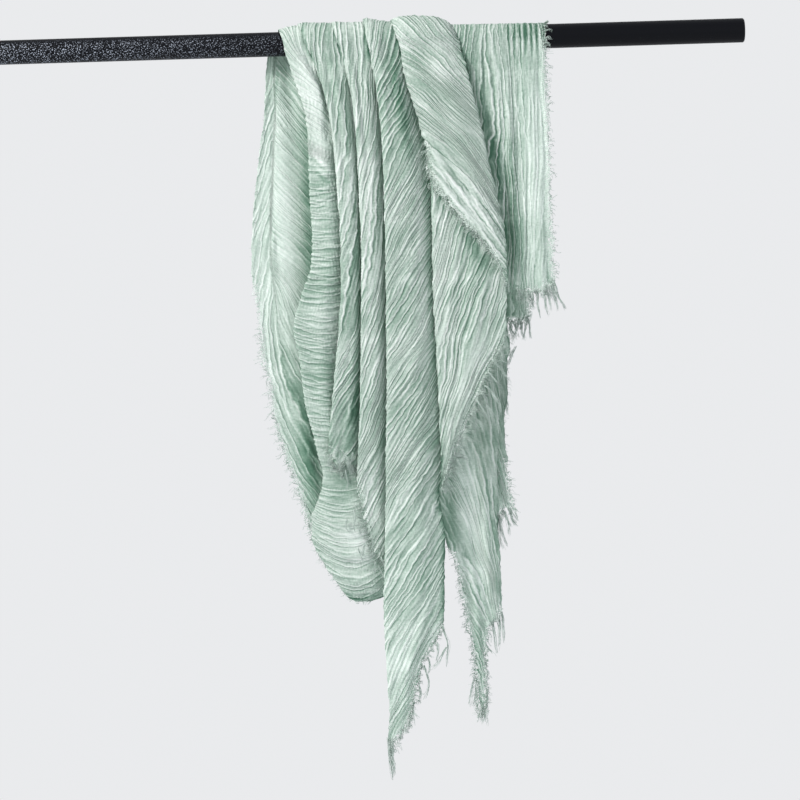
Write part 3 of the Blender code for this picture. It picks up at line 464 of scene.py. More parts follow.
def strokes(p, q, rows):
    """Soft strokes listed for the cloth: (leaf, strength, half width, points of x and z)."""
    total = np.zeros_like(p)
    for leaf, strength, width, line in rows:
        sign = -1.0 if leaf == "front" else 1.0
        points = np.array([(x, sign * (QUARTER - z)) for x, z in line])
        lengths = np.linalg.norm(np.diff(points, axis=0), axis=1)
        nearest = np.full(p.shape, np.inf)
        place = np.zeros_like(p)
        walked = 0.0
        for start, end, length in zip(points, points[1:], lengths):
            way = (end - start) / length
            t = np.clip((p - start[0]) * way[0] + (q - start[1]) * way[1], 0.0, length)
            away = np.hypot(p - start[0] - t * way[0], q - start[1] - t * way[1])
            closer = away < nearest
            nearest = np.where(closer, away, nearest)
            place = np.where(closer, (walked + t) / lengths.sum(), place)
            walked += length
        wave = math.pi * (STROKE_END + (1.0 - 2.0 * STROKE_END) * place)
        total += strength * np.exp(-(nearest / width) ** 2) * np.sin(wave)
    return total


# The gauze's colours, from its deepest painted shade through its own body colour to the painted highlight on
# a crest.
GREEN_DEEP_SHADE = (0.065, 0.160, 0.105)
GREEN_SHADE = (0.262, 0.385, 0.312)
GREEN_BODY = (0.558, 0.652, 0.592)
GREEN_PALE = (0.795, 0.862, 0.820)
GREEN_CREST_HIGHLIGHT = (0.955, 0.985, 0.968)
GREEN_LIT = (0.68, 0.83, 0.74)
SEE_THROUGH = 0.30             # share of the light that passes through the gauze
LINE_PITCH = 0.0062            # two thin crinkle lines lie in this width
LINE_LENGTH = 0.095
LINE_SHARPNESS = 7.5
LINE_SHADE = 0.0009            # a line's painted shadow lies this far beside it
HAIR_PITCH = 0.0030            # finer lines between them
HAIR_LENGTH = 0.030
HAIR_SHARPNESS = 5.0
HAIR_SHIFT = 3.0               # takes the finer lines from another part of the noise
SWAYS = 95.0                   # how often in a metre the lines sway
SWAY_WIDTH = 0.0034            # width within which they do
YARNS = 1500.0                 # grains of the weave in a metre, across its yarns
YARNS_ALONG = 260.0            # and along them
CLOUDS = 16.0                  # paler and deeper clouds in a metre
FRAY = 0.0045                  # the weave is loose this far from a raw edge
YARN_HOLDS = 0.62              # yarns stronger than this still cover there
YARN_SHARPNESS = 6.0
# How far each pattern moves the gauze through its colours, from 0 for the deepest to 1 for the palest.
# The crinkles' height and the thin and finer lines paint light and shade; the weave and the clouds are the
# gauze's own.
RIDGE_SHADE_TONE = 0.36
LINE_HIGHLIGHT_TONE = 0.42
LINE_SHADE_TONE = 0.30
HAIR_HIGHLIGHT_TONE = 0.14
LINES_EVENED = 0.05            # taken off again, so that the lines leave the mean colour as it is
WEAVE_TONE = 0.22
CLOUD_TONE = 0.12


def crinkle_lines(start, across, down, pitch, length, sharpness):
    """Thin lines that run along the crinkles: 1 on a line, 0 between lines."""
    place = start.node("ShaderNodeCombineXYZ", 0, (), {0: across / pitch, 1: down / length})
    near = (1.0 - (start.noise(place, 1.0, 0.0) - 0.5).size() * sharpness).clipped()
    return near * near


def gauze_material():
    """Sage gauze: thin pale crinkle lines painted as highlights, each with a painted shadow beside it, its
    weave, and its loosened raw edges.
    """
    material, shader, start = new_material("gauze")
    ridge, tone, drawn, edge = (
        start.node("ShaderNodeAttribute", "Fac", {"attribute_name": name})
        for name in ("ridge", "tone", "drawn", "edge")
    )
    flat = start.node("ShaderNodeUVMap", 0, {"uv_map": "weave"})
    lined = start.node("ShaderNodeUVMap", 0, {"uv_map": "lines"})
    sway = (start.noise(flat, SWAYS, 1.0) - 0.5) * SWAY_WIDTH
    across = start.node("ShaderNodeSeparateXYZ", "X", (), {0: lined}) + sway
    down = start.node("ShaderNodeSeparateXYZ", "Y", (), {0: lined})
    # The thin lines and the finer lines between them are painted highlights on the crinkles' crests; the thin
    # lines moved a little aside are their painted shadows.
    lines = crinkle_lines(start, across, down, LINE_PITCH, LINE_LENGTH, LINE_SHARPNESS)
    painted_line_shadow = crinkle_lines(start, across - LINE_SHADE, down, LINE_PITCH, LINE_LENGTH, LINE_SHARPNESS)
    hairs = crinkle_lines(start, across, down + HAIR_SHIFT, HAIR_PITCH, HAIR_LENGTH, HAIR_SHARPNESS)
    warp, weft = (
        start.noise(start.node("ShaderNodeMapping", 0, (), {"Vector": flat, "Scale": grains}), 1.0, 0.0)
        for grains in ((YARNS, YARNS_ALONG, 1.0), (YARNS_ALONG, YARNS, 1.0))
    )
    cloud = start.noise(flat, CLOUDS, 2.0) - 0.5
    drawing = lines * LINE_HIGHLIGHT_TONE - painted_line_shadow * LINE_SHADE_TONE + hairs * HAIR_HIGHLIGHT_TONE - LINES_EVENED
    depth = tone + (ridge - 0.5) * RIDGE_SHADE_TONE + drawing * drawn
    depth = depth + (warp + weft - 1.0) * WEAVE_TONE + cloud * CLOUD_TONE
    colour = start.node("ShaderNodeValToRGB", "Color", {"stops": (
        (0.0, (*GREEN_DEEP_SHADE, 1.0)), (0.30, (*GREEN_SHADE, 1.0)), (0.55, (*GREEN_BODY, 1.0)),
        (0.78, (*GREEN_PALE, 1.0)), (1.0, (*GREEN_CREST_HIGHLIGHT, 1.0)),
    )}, {"Fac": depth.clipped()})
    raised = (lines + hairs * 0.3) * drawn + (warp + weft) * 0.25
    bump = start.node("ShaderNodeBump", 0, (), {"Strength": 0.8, "Distance": 0.0006, "Height": raised})
    yarns = start.maths("MAXIMUM", warp, weft)
    cover = (edge / FRAY + (yarns - YARN_HOLDS) * YARN_SHARPNESS).clipped()
    colour.feeds(shader, "Base Color")
    bump.feeds(shader, "Normal")
    cover.feeds(shader, "Alpha")
    shader.inputs["Roughness"].default_value = 0.92
    shader.inputs["Specular IOR Level"].default_value = 0.25
    through = start.node("ShaderNodeBsdfTranslucent", 0, (), {"Color": (*GREEN_LIT, 1.0)})
    face = Pattern(start.tree, shader.outputs[0])
    mixed = start.node("ShaderNodeMixShader", 0, (), {0: cover * SEE_THROUGH, 1: face, 2: through})
    mixed.feeds(start.tree.nodes["Material Output"], "Surface")
    return material


gauze = gauze_material()
laid = {}                      # each stretch once it is laid, under the name of its node


RELIEF_PATCHES = 0.22          # how much deeper or flatter the crinkles are from patch to patch
PATCH_TONE = 0.035             # and how much paler or deeper in colour
PATCH_PITCH = 0.03
CREST_LEVEL = 0.62             # how soon the highest crests level off
CREST_PINCH = 0.30             # how much narrower the crests are than the hollows
ROD_EASE = 0.012               # beside the rod the crinkles may sink in again over this length
RAGGED_PITCH = 0.004           # the small unevenness of an edge
RAGGED_SIDE = 0.0004           # how far it moves a side edge sideways,
RAGGED_RAW = 0.0005            # how much further where the edge is raw,
RAGGED_DOWN = 0.0010           # and how far it moves a raw edge up and down
TORN_PITCH = 0.009             # the larger tears of a raw edge
TORN_DOWN = 0.0013
SIDE_FADE = 0.004              # sideways this fades away from the edge over this length
DOWN_FADE = 0.006              # and up and down over this one
HEM_EASE = 0.016               # the cut of a hem is taken up over this length of cloth
SHADE_WIDTH = 0.0042           # the shade beside a covered or covering edge is about this wide
SEAM_WIDTH = 0.0014            # and is darkest in a line this wide,
SEAM_SHARE = 0.6               # which adds this share of the shade again
SHADE_FROM = 0.4               # the shade sets in this share of the way from the rod's top to its axis
SHADE_EASE = 0.02              # and is full this much further along the cloth
SWAG_SLANT = 0.5               # how much lower the crinkles turn level for each step to the right


def unit(vectors):
    """The same ways, each of length 1."""
    return vectors / np.maximum(np.linalg.norm(vectors, axis=-1, keepdims=True), 1e-9)


def along_the_cloth(front, back, front_rows, back_rows):
    """Distances along the cloth from the top of the rod, one for each row of the mesh."""
    return np.concatenate([
        np.linspace(front[-1][0] - QUARTER, -QUARTER, front_rows, endpoint=False),
        np.linspace(-QUARTER, QUARTER, SADDLE_ROWS, endpoint=False),
        np.linspace(QUARTER, QUARTER - back[-1][0], back_rows + 1),
    ])


def cut_hems(points, along, hems):
    """Lengthen or shorten the cloth near its two hems: (share of the width, how much lower)."""
    share = np.linspace(0.0, 1.0, points.shape[1])
    for hem, away in zip(hems, (along - along[0], along[-1] - along)):
        lower = np.interp(share, [row[0] for row in hem], [row[1] for row in hem])
        points[..., 2] -= np.exp(-(away / HEM_EASE) ** 2)[:, None] * lower[None, :]


def edge_distances(points, along, raw):
    """How far each point lies from the raw edges, and from the left and the right edge."""
    walked = walked_along(points)
    from_left, from_right = walked, walked[:, -1:] - walked
    from_hem = np.minimum(along - along[0], along[-1] - along)[:, None] + 0.0 * walked
    height = (QUARTER - np.abs(along))[:, None]
    nearest = np.full(walked.shape, 1.0)
    for leaf, edge, start, end in raw:
        away = {"left": from_left, "right": from_right, "hem": from_hem}[edge]
        if edge != "hem":
            away = np.hypot(away, np.maximum(np.maximum(height - start, end - height), 0.0))
        here = ((along < 0.0) == (leaf == "front"))[:, None]
        nearest = np.where(here, np.minimum(nearest, away), nearest)
    return nearest, from_left, from_right


def crinkle_relief(on_cloth, directions, q, crinkle, broad, rng):
    """How far the crinkles lift each point, the fine ones alone, and how they differ from patch to patch."""
    fine = on_cloth(drawn_crinkles(directions, *crinkle[:2], rng))
    wide = on_cloth(drawn_crinkles(directions, *broad[:2], rng))
    patch = on_cloth(soft_noise(directions.shape, PATCH_PITCH, rng))
    fine = fine * (1.0 + RELIEF_PATCHES * patch)
    fine = np.tanh(CREST_LEVEL * (fine + CREST_PINCH * (fine * fine - 1.0))) / CREST_LEVEL
    height = crinkle[2] * fine + broad[2] * wide
    # On the rod the gauze can only stand out from it.
    on_rod = 1.0 - smooth_step((np.abs(q) - QUARTER) / ROD_EASE)
    lifted = np.log1p(np.exp((height + GAUZE) / GAUZE)) * GAUZE - GAUZE
    return height + (lifted - height) * on_rod, fine, patch


def tear_edges(points, on_cloth, shape, from_raw, from_side, rng):
    """Make the side edges a little uneven, and the raw edges ragged and torn."""
    ragged = on_cloth(soft_noise(shape, RAGGED_PITCH, rng))
    torn = on_cloth(soft_noise(shape, TORN_PITCH, rng))
    points[..., 0] += RAGGED_SIDE * ragged * np.exp(-from_side / SIDE_FADE)
    points[..., 0] += RAGGED_RAW * ragged * np.exp(-from_raw / SIDE_FADE)
    points[..., 2] += (RAGGED_DOWN * ragged + TORN_DOWN * torn) * np.exp(-from_raw / DOWN_FADE)


def shade_edges(paleness_and_painted_light, q, shade, from_sides):
    """Darken the gauze beside its left and its right edge, where it hangs clear of the rod's top."""
    hanging = smooth_step((np.abs(q) - QUARTER * SHADE_FROM) / SHADE_EASE)
    for strength, away in zip(shade, from_sides):
        paleness_and_painted_light = paleness_and_painted_light - strength * hanging * np.exp(-(away / SHADE_WIDTH) ** 2)
        paleness_and_painted_light = paleness_and_painted_light - SEAM_SHARE * strength * hanging * np.exp(-(away / SEAM_WIDTH) ** 2)
    return paleness_and_painted_light


def swag_lines(across, p, q, swag):
    """Turn the thin lines level, into smiles. Returns where each point lies across and along them."""
    start, settled, smiles = swag
    heights, middles, curves = (np.array(smiles)[::-1, k] for k in range(3))
    middle, curve = (np.interp(q + QUARTER, heights, values) for values in (middles, curves))
    turned = smooth_step((start - SWAG_SLANT * (p - middle) - q) / (start - settled)) * (q < 0.0)
    across = across + (curve * (p - middle) ** 2 - q - across) * turned
    return across, q + (p - q) * turned


def sheet_mesh(name, points):
    """An open mesh through rows of points, and the row and column of each of its vertices."""
    rows, columns = points.shape[0] - 1, points.shape[1] - 1
    bm = bmesh.new()
    bmesh.ops.create_grid(bm, x_segments=columns, y_segments=rows, size=0.5)
    sheet = bpy.data.meshes.new(name)
    bm.to_mesh(sheet)
    bm.free()
    place = np.zeros(len(sheet.vertices) * 3)
    sheet.vertices.foreach_get("co", place)
    place = place.reshape(-1, 3) + 0.5
    column = np.rint(place[:, 0] * columns).astype(int)
    row = np.rint(place[:, 1] * rows).astype(int)
    sheet.vertices.foreach_set("co", points[row, column].ravel())
    return sheet, row, column


def gauze_stretch(node, front, back, gather, ripples, mesh, leans, crinkle, broad, creases, tones, tone,
                  flat, area, seed, raw, lines, hems=(((0.0, 0.0),), ((0.0, 0.0),)), shade=(0.0, 0.0),
                  line_strokes=(), swag=None, back_fold=GENTLE, back_start=None):
    """One stretch of the scarf: an open sheet bent over the rod, crinkled, and given its thickness.

    front, back     tables of the two leaves, and leans the tables of their crinkles' directions
    gather          how high the cloth stands on the rod, at shares of its width
    ripples         height and number of the waves across the front leaf and the back leaf
    mesh            columns, and rows in front and behind
    crinkle, broad  pitch, length and height of the fine and the broad crinkles
    creases, tones  listed strokes that lift the gauze, and that make it paler or deeper as painted light and
    shade
    line_strokes    strokes that make its thin lines, painted highlights and shadows, stronger or weaker than lines says
    raw             its raw edges: leaf, edge, and the heights between which a side edge is raw
    hems            how much lower the front and the back hem hang, at shares of their width
    shade           how strong the shade is beside its left and its right edge
    swag            where on the cloth crinkles turn level, from start to end, and a table of their smiles
    back_fold       the share of the back leaf's width where its crinkles turn, and over what share
    back_start      height behind the rod from which the thin lines are numbered on their own
    """
    columns, front_rows, back_rows = mesh
    along = along_the_cloth(front, back, front_rows, back_rows)
    points, p = lay_cloth(front, back, gather, ripples, along, columns)
    q = np.repeat(along[:, None], columns + 1, axis=1)
    rng = np.random.default_rng(seed)
    raster_p = np.arange(p.min() - RASTER_PAST[0], p.max() + RASTER_PAST[1], CELL)
    raster_q = np.arange(along[0] - RASTER_PAST[0], along[-1] + RASTER_PAST[1], CELL)
    directions = crinkle_directions(front, back, *leans, raster_p, raster_q, rng, back_fold)

    def on_cloth(raster):
        """Read a raster at every point of the sheet."""
        return read_raster(raster, raster_p, raster_q, p, q)

    height, fine, patch = crinkle_relief(on_cloth, directions, q, crinkle, broad, rng)
    height = height + strokes(p, q, creases)
    normals = unit(np.cross(np.gradient(points, axis=1), np.gradient(points, axis=0)))
    points = points + normals * height[..., None]
    from_raw, from_left, from_right = edge_distances(points, along, raw)
    tear_edges(points, on_cloth, directions.shape, from_raw, np.minimum(from_left, from_right), rng)
    cut_hems(points, along, hems)

    # The gauze's own paleness and its random patches, with painted light and shade from the tone strokes and
    # beside the edges.
    paleness_and_painted_light = tone + PATCH_TONE * patch + strokes(p, q, tones)
    paleness_and_painted_light = shade_edges(paleness_and_painted_light, q, shade, (from_left, from_right))
    boldness = np.maximum(lines + strokes(p, q, line_strokes), 0.0)
    across, down = on_cloth(line_numbers(directions, raster_p, raster_q, back_start)), q
    if swag:
        across, down = swag_lines(across, p, q, swag)

    sheet, row, column = sheet_mesh(node + "_gauze", points)
    # The first attribute is the fine crinkles' height, which the gauze turns into painted light on the crests
    # and painted shade in the hollows.
    for name, values in (
        ("ridge", 0.5 + 0.25 * fine), ("tone", paleness_and_painted_light), ("edge", from_raw), ("drawn", boldness),
    ):
        sheet.attributes.new(name, "FLOAT", "POINT").data.foreach_set("value", values[row, column].ravel())
    corners = np.zeros(len(sheet.loops), int)
    sheet.loops.foreach_get("vertex_index", corners)
    for name, u, v in (("weave", p, q), ("lines", across, down)):
        flat_place = np.stack([u[row, column], v[row, column]], axis=-1)
        sheet.uv_layers.new(name=name).data.foreach_set("uv", flat_place[corners].ravel())
    sheet.materials.append(gauze)
    sheet.shade_smooth()
    sheet.update()
    piece = bpy.data.objects.new(node + "_gauze", sheet)
    bpy.context.scene.collection.objects.link(piece)
    wall = piece.modifiers.new("thickness", "SOLIDIFY")
    wall.thickness = GAUZE
    wall.offset = 0.0
    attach(piece, "root")
    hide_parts(node)
    laid[node] = {"piece": piece, "points": points, "along": along, "normals": normals,
                  "flat": flat, "area": area, "threads": []}


# Loose threads drawn from the gauze's raw edges.
THREAD = 0.00030               # radius of a thread at its root
THREAD_TIP = 0.45              # share of that radius at its tip
ROOT = 0.0030                  # how far back in the weave a thread starts
CLUMP = 0.0042                 # threads within this cling together
THREAD_SPREAD = 0.16           # how far a single thread strays from the way out of its edge
LOCK_SPREAD = 0.30             # and how far a whole lock does
DROOP_SPREAD = 0.7             # share of that stray in the way in which the lock droops
SLACK = 1.15                   # a drooping thread's line is drawn this much longer
CLINGS_FROM = 0.008            # threads of this length or more cling together fully
OWN_CURL = 0.3                 # share of its lock's curl that a thread has on its own
CURL = 0.0008                  # how far a thread of a listed lock strays
LOCK_SAMPLES = 41              # samples along the line of such a lock
LOCK_BLUR = 9                  # samples over which its corners are rounded
LOCK_SHORTEST = 0.72           # share of the line that its shortest threads reach
LOCK_TAPER = 0.65              # share of its width that it loses on the way to its tip
RINGS = 6                      # parts that a thread is cut into along its length
MOTTLES = 170.0                # paler and deeper parts of the threads in a metre
PALE_THREAD = (0.63, 0.715, 0.670)
SAGE_THREAD = (0.34, 0.43, 0.38)


def thread_material():
    """Fine spun threads, in parts pale and in parts sage."""
    material, shader, start = new_material("gauze_threads")
    place = start.node("ShaderNodeTexCoord", "Object")
    mottle = (start.noise(place, MOTTLES, 2.0) * 1.8 - 0.4).clipped()
    colour = start.blend(mottle, (*SAGE_THREAD, 1.0), (*PALE_THREAD, 1.0))
    colour.feeds(shader, "Base Color")
    shader.inputs["Roughness"].default_value = 0.9
    shader.inputs["Specular IOR Level"].default_value = 0.2
    return material


def straight_threads(count):
    """A joined mesh of upright threads, each two units above the last: one thread and an array."""
    bm = bmesh.new()
    bmesh.ops.create_cone(bm, cap_ends=True, cap_tris=True, segments=3, radius1=1.0, radius2=1.0, depth=1.0)
    uprights = [edge for edge in bm.edges if abs(edge.verts[0].co.z - edge.verts[1].co.z) > 0.5]
    bmesh.ops.subdivide_edges(bm, edges=uprights, cuts=RINGS - 1)
    one = bpy.data.meshes.new("one_thread")
    bm.to_mesh(one)
    bm.free()
    holder = bpy.data.objects.new("one_thread", one)
    bpy.context.scene.collection.objects.link(holder)
    array = holder.modifiers.new("array", "ARRAY")
    array.count = count
    array.use_relative_offset = False
    array.use_constant_offset = True
    array.constant_offset_displace = (0.0, 0.0, 2.0)
    made = bpy.data.meshes.new_from_object(holder.evaluated_get(bpy.context.evaluated_depsgraph_get()))
    bpy.data.objects.remove(holder)
    return made


def edge_of(stretch, leaf, edge, start, end):
    """Points along an edge of the laid cloth, the way out of it, and its normal there.

    A side edge runs between the heights start and end, a hem between those shares of its width.
    """
    points, normals, along = stretch["points"], stretch["normals"], stretch["along"]
    # The way out is taken over three cells of the mesh.
    if edge == "hem":
        row, beside = (0, 3) if leaf == "front" else (-1, -4)
        columns = points.shape[1] - 1
        kept = slice(round(start * columns), round(end * columns) + 1)
        return points[row, kept], unit(points[row, kept] - points[beside, kept]), normals[row, kept]
    column, beside = (0, 3) if edge == "left" else (-1, -4)
    height = QUARTER - np.abs(along)
    side = along < 0.0 if leaf == "front" else along >= 0.0
    kept = side & (height <= start) & (height >= end)
    ends = points[kept, column]
    return ends, unit(ends - points[kept, beside]), normals[kept, column]


def thread_curls(groups, reach, rng):
    """Gentle curls for threads, the same for all threads of a group."""
    count = int(groups.max()) + 1
    t = np.linspace(0.0, 1.0, RINGS + 1)[None, :, None]
    curls = np.zeros((count, RINGS + 1, 3))
    for _ in range(2):
        sideways = unit(rng.standard_normal((count, 1, 3)) * (1.0, 0.5, 0.7))
        turns = rng.uniform(0.5, 1.8, (count, 1, 1))
        start = rng.uniform(0.0, 2.0 * math.pi, (count, 1, 1))
        wave = np.sin(2.0 * math.pi * turns * t + start) - np.sin(start)
        curls += reach * sideways * wave * np.sqrt(t)
    return curls[groups]


def edge_threads(stretch, run, rng):
    """Threads along an edge, which cling together in pointed locks and droop."""
    leaf, edge, start, end, threads, length, limp, lean, curl = run
    ends, outs, _ = edge_of(stretch, leaf, edge, start, end)
    walked = walked_along(ends)

    def at(values, where):
        """Read values of the edge's points at distances along it."""
        return np.stack([np.interp(where, walked, values[:, k]) for k in range(3)], axis=-1)

    place = (np.arange(threads) + rng.random(threads)) / threads * walked[-1]
    lock = np.floor(place / CLUMP).astype(int)
    locks = lock.max() + 1
    centre = (np.arange(locks) + rng.uniform(0.25, 0.75, locks)) * CLUMP
    grip = rng.uniform(0.45, 1.0, locks)
    fullness = 0.25 + 0.75 * rng.random(locks) ** 1.6
    loosened = unit(rng.standard_normal((locks, 3)) * (1.0, 0.4, 0.5)) * LOCK_SPREAD
    stray = THREAD_SPREAD * rng.standard_normal((threads, 3)) * (1.0, 0.4, 1.0)
    out = unit(at(outs, place) + stray + loosened[lock])
    root = at(ends, place) - at(outs, place) * ROOT
    cling = (at(ends, centre[lock]) - at(ends, place)) * grip[lock][:, None]
    reach = length * rng.uniform(0.55, 1.0, threads) * fullness[lock] + ROOT
    droop = unit(np.array([lean, 0.0, -1.0]) + DROOP_SPREAD * loosened)
    final = unit(out * (1.0 - limp) + droop[lock] * limp)
    t = np.linspace(0.0, 1.0, RINGS + 1)[None, :, None]
    bent = out[:, None] * (t - 0.5 * t * t) + final[:, None] * 0.5 * t * t
    line = root[:, None] + reach[:, None, None] * bent * SLACK
    line = line + cling[:, None] * np.sqrt(t) * t * min(1.0, length / CLINGS_FROM)
    return line + thread_curls(lock, curl, rng) + thread_curls(np.arange(threads), OWN_CURL * curl, rng)


def lock_threads(lock, rng):
    """A lock of threads that follows a given line: (y, threads, width, points of x and z)."""
    y, threads, width, laid_line = lock
    points = np.array(laid_line)
    walked = walked_along(points)
    dense = np.linspace(0.0, 1.0, LOCK_SAMPLES)
    blur = np.ones(LOCK_BLUR) / LOCK_BLUR
    eased = [np.interp(dense * walked[-1], walked, points[:, k]) for k in (0, 1)]
    eased = [np.convolve(np.pad(values, LOCK_BLUR // 2, "edge"), blur, "valid") for values in eased]
    t = np.linspace(0.0, 1.0, RINGS + 1)[None, :]
    share = t * rng.uniform(LOCK_SHORTEST, 1.0, (threads, 1))
    line = np.stack([np.interp(share, dense, eased[0]), np.full(share.shape, y),
                     np.interp(share, dense, eased[1])], axis=-1)
    apart = rng.uniform(-0.5, 0.5, (threads, 1, 3)) * (1.0, 0.7, 0.5)
    line = line + apart * width * (1.0 - LOCK_TAPER * t[..., None])
    together = thread_curls(np.zeros(threads, int), CURL, rng)
    return line + together + thread_curls(np.arange(threads), CURL, rng)


def frayed_edge(node, owner, runs, seed, locks=()):
    """The loose threads on a stretch's raw edges, as one joined mesh that replaces a fringe node."""
    rng = np.random.default_rng(seed)
    stretch = laid[owner]
    lines = [edge_threads(stretch, run, rng) for run in runs] + [lock_threads(lock, rng) for lock in locks]
    lines = np.concatenate(lines)
    mesh = straight_threads(len(lines))
    place = np.zeros(len(mesh.vertices) * 3)
    mesh.vertices.foreach_get("co", place)
    place = place.reshape(-1, 3)
    # The threads stand two units apart, so a vertex's height tells its thread and its ring.
    thread = np.floor((place[:, 2] + 0.75) / 2.0).astype(int)
    ring = np.rint((place[:, 2] + 0.5 - 2.0 * thread) * RINGS).astype(int)
    way = unit(np.gradient(lines, axis=1))
    side = unit(np.cross(way, (0.3, 1.0, 0.2)))
    other = np.cross(way, side)
    radius = THREAD * (1.0 - (1.0 - THREAD_TIP) * ring / RINGS)
    spread = side[thread, ring] * place[:, :1] + other[thread, ring] * place[:, 1:2]
    mesh.vertices.foreach_set("co", (lines[thread, ring] + spread * radius[:, None]).ravel())
    mesh.materials.clear()
    mesh.materials.append(loose_thread)
    mesh.shade_smooth()
    mesh.update()
    piece = bpy.data.objects.new(node + "_threads", mesh)
    bpy.context.scene.collection.objects.link(piece)
    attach(piece, "root")
    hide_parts(node)
    stretch["threads"].append(piece)


loose_thread = thread_material()

gauze_stretch(
    "cowl", COWL_FRONT, COWL_BACK,
    gather=((0.0, 0.0003), (0.35, 0.0032), (0.8, 0.0050), (1.0, 0.0052)),
    ripples=((0.0006, 2), (0.0010, 2)), mesh=(60, 380, 280),
    leans=(COWL_FRONT_LEANS, COWL_BACK_LEANS),
    crinkle=(0.0042, 0.075, 0.00042), broad=(0.0090, 0.090, 0.00024),
    creases=(
        ("front", 0.0016, 0.0040, ((-0.119, 0.006), (-0.102, -0.021), (-0.085, -0.044), (-0.077, -0.083))),
        ("front", -0.0014, 0.0035, ((-0.110, 0.004), (-0.094, -0.020), (-0.080, -0.045), (-0.074, -0.075))),
        ("front", -0.0026, 0.0050, ((-0.078, -0.078), (-0.075, -0.092), (-0.074, -0.106))),
        ("front", 0.0020, 0.0026, ((-0.093, -0.113), (-0.086, -0.121), (-0.079, -0.128), (-0.074, -0.133))),
        ("front", -0.0016, 0.0022, ((-0.094, -0.119), (-0.087, -0.127), (-0.080, -0.134))),
        ("front", 0.0018, 0.0024, ((-0.090, -0.127), (-0.083, -0.134), (-0.076, -0.140))),
        ("front", 0.0020, 0.0060, ((-0.100, -0.478), (-0.078, -0.498), (-0.045, -0.500))),
        ("front", 0.0022, 0.0050, ((-0.098, -0.512), (-0.074, -0.528), (-0.040, -0.530))),
        ("front", -0.0020, 0.0045, ((-0.098, -0.522), (-0.074, -0.540), (-0.040, -0.542))),
        ("front", 0.0022, 0.0040, ((-0.086, -0.545), (-0.066, -0.557), (-0.036, -0.557))),
        ("back", 0.0011, 0.0028, ((-0.127, -0.030), (-0.134, -0.075), (-0.1365, -0.127), (-0.1365, -0.190),
                                  (-0.132, -0.230), (-0.131, -0.260))),
        ("back", -0.0006, 0.0020, ((-0.130, -0.035), (-0.138, -0.090), (-0.1395, -0.140), (-0.1395, -0.185))),
        ("back", -0.0016, 0.0020, ((-0.1365, -0.185), (-0.1365, -0.200), (-0.1370, -0.215))),
        ("back", -0.0025, 0.0060, ((-0.108, -0.370), (-0.106, -0.430), (-0.100, -0.485))),
    ),
    # strokes of painted light and painted shade
    tones=(
        ("front", 0.30, 0.014, ((-0.114, 0.006), (-0.100, -0.030), (-0.088, -0.065), (-0.080, -0.116))),
        ("front", 0.20, 0.009, ((-0.088, -0.104), (-0.084, -0.118), (-0.080, -0.132))),
        ("front", 0.12, 0.010, ((-0.104, 0.006), (-0.086, -0.030), (-0.078, -0.070))),
        ("front", -0.16, 0.0030, ((-0.074, -0.040), (-0.0765, -0.072), (-0.0755, -0.090))),
        ("front", 0.30, 0.0022, ((-0.092, -0.114), (-0.085, -0.122), (-0.078, -0.129), (-0.073, -0.134))),
        ("front", -0.22, 0.0020, ((-0.093, -0.119), (-0.086, -0.127), (-0.080, -0.134))),
        ("front", 0.26, 0.0020, ((-0.089, -0.127), (-0.083, -0.134), (-0.076, -0.140))),
        ("front", -0.20, 0.0022, ((-0.088, -0.134), (-0.082, -0.141), (-0.074, -0.146))),
        ("front", 0.14, 0.014, ((-0.060, -0.490), (-0.056, -0.530))),
        ("front", 0.20, 0.009, ((-0.052, -0.500), (-0.048, -0.545))),
        ("front", -0.30, 0.0030, ((-0.084, -0.564), (-0.064, -0.574), (-0.030, -0.570))),
        ("back", 0.27, 0.011, ((-0.140, -0.030), (-0.147, -0.120), (-0.154, -0.220), (-0.150, -0.330),
                               (-0.138, -0.430))),
        ("back", 0.34, 0.012, ((-0.126, -0.060), (-0.126, -0.150), (-0.124, -0.230), (-0.124, -0.310))),
        ("back", -0.36, 0.008, ((-0.098, -0.085), (-0.099, -0.150), (-0.098, -0.230), (-0.108, -0.270))),
        ("back", -0.42, 0.009, ((-0.110, -0.350), (-0.106, -0.420), (-0.100, -0.490))),
        ("back", -0.14, 0.0016, ((-0.126, -0.020), (-0.130, -0.045), (-0.1345, -0.080))),
        ("front", -0.05, 0.022, ((-0.082, -0.150), (-0.086, -0.250), (-0.094, -0.420))),
        ("front", 0.10, 0.022, ((-0.070, -0.470), (-0.070, -0.550))),
    ),
    line_strokes=(
        ("front", -0.70, 0.010, ((-0.100, -0.104), (-0.080, -0.104), (-0.062, -0.112))),
        ("front", -0.40, 0.008, ((-0.100, -0.118), (-0.080, -0.122), (-0.062, -0.128))),
        ("back", -0.35, 0.016, ((-0.124, -0.100), (-0.124, -0.300))),
    ),
    tone=0.49, flat=(0.091, 1.19), area=0.072, seed=11, lines=0.95,
    swag=(-0.128, -0.146, (
        # z, x of the lowest point of a crinkle, how strongly it curves up to both sides
        (-0.120, -0.080, 6.0), (-0.440, -0.078, 7.0), (-0.500, -0.067, 11.0), (-0.577, -0.058, 17.0),
    )),
    raw=(("back", "left", -0.25, -0.574),), shade=(0.0, 0.24), back_fold=(0.27, 0.05), back_start=-0.31,
)


frayed_edge("cowl_selvedge_frays", "cowl", (
    # leaf, edge, start, end, threads, length, limp, lean, curl
    ("back", "left", -0.060, -0.290, 26, 0.0030, 0.30, -0.3, 0.0008),
    ("back", "left", -0.290, -0.480, 96, 0.0080, 0.45, -0.4, 0.0016),
    ("back", "left", -0.480, -0.574, 34, 0.0050, 0.50, -0.4, 0.0012),
    ("front", "hem", 0.0, 1.0, 14, 0.0050, 0.6, 0.1, 0.0010),
    ("front", "left", -0.530, -0.572, 12, 0.0060, 0.4, -0.4, 0.0012),
), 21)


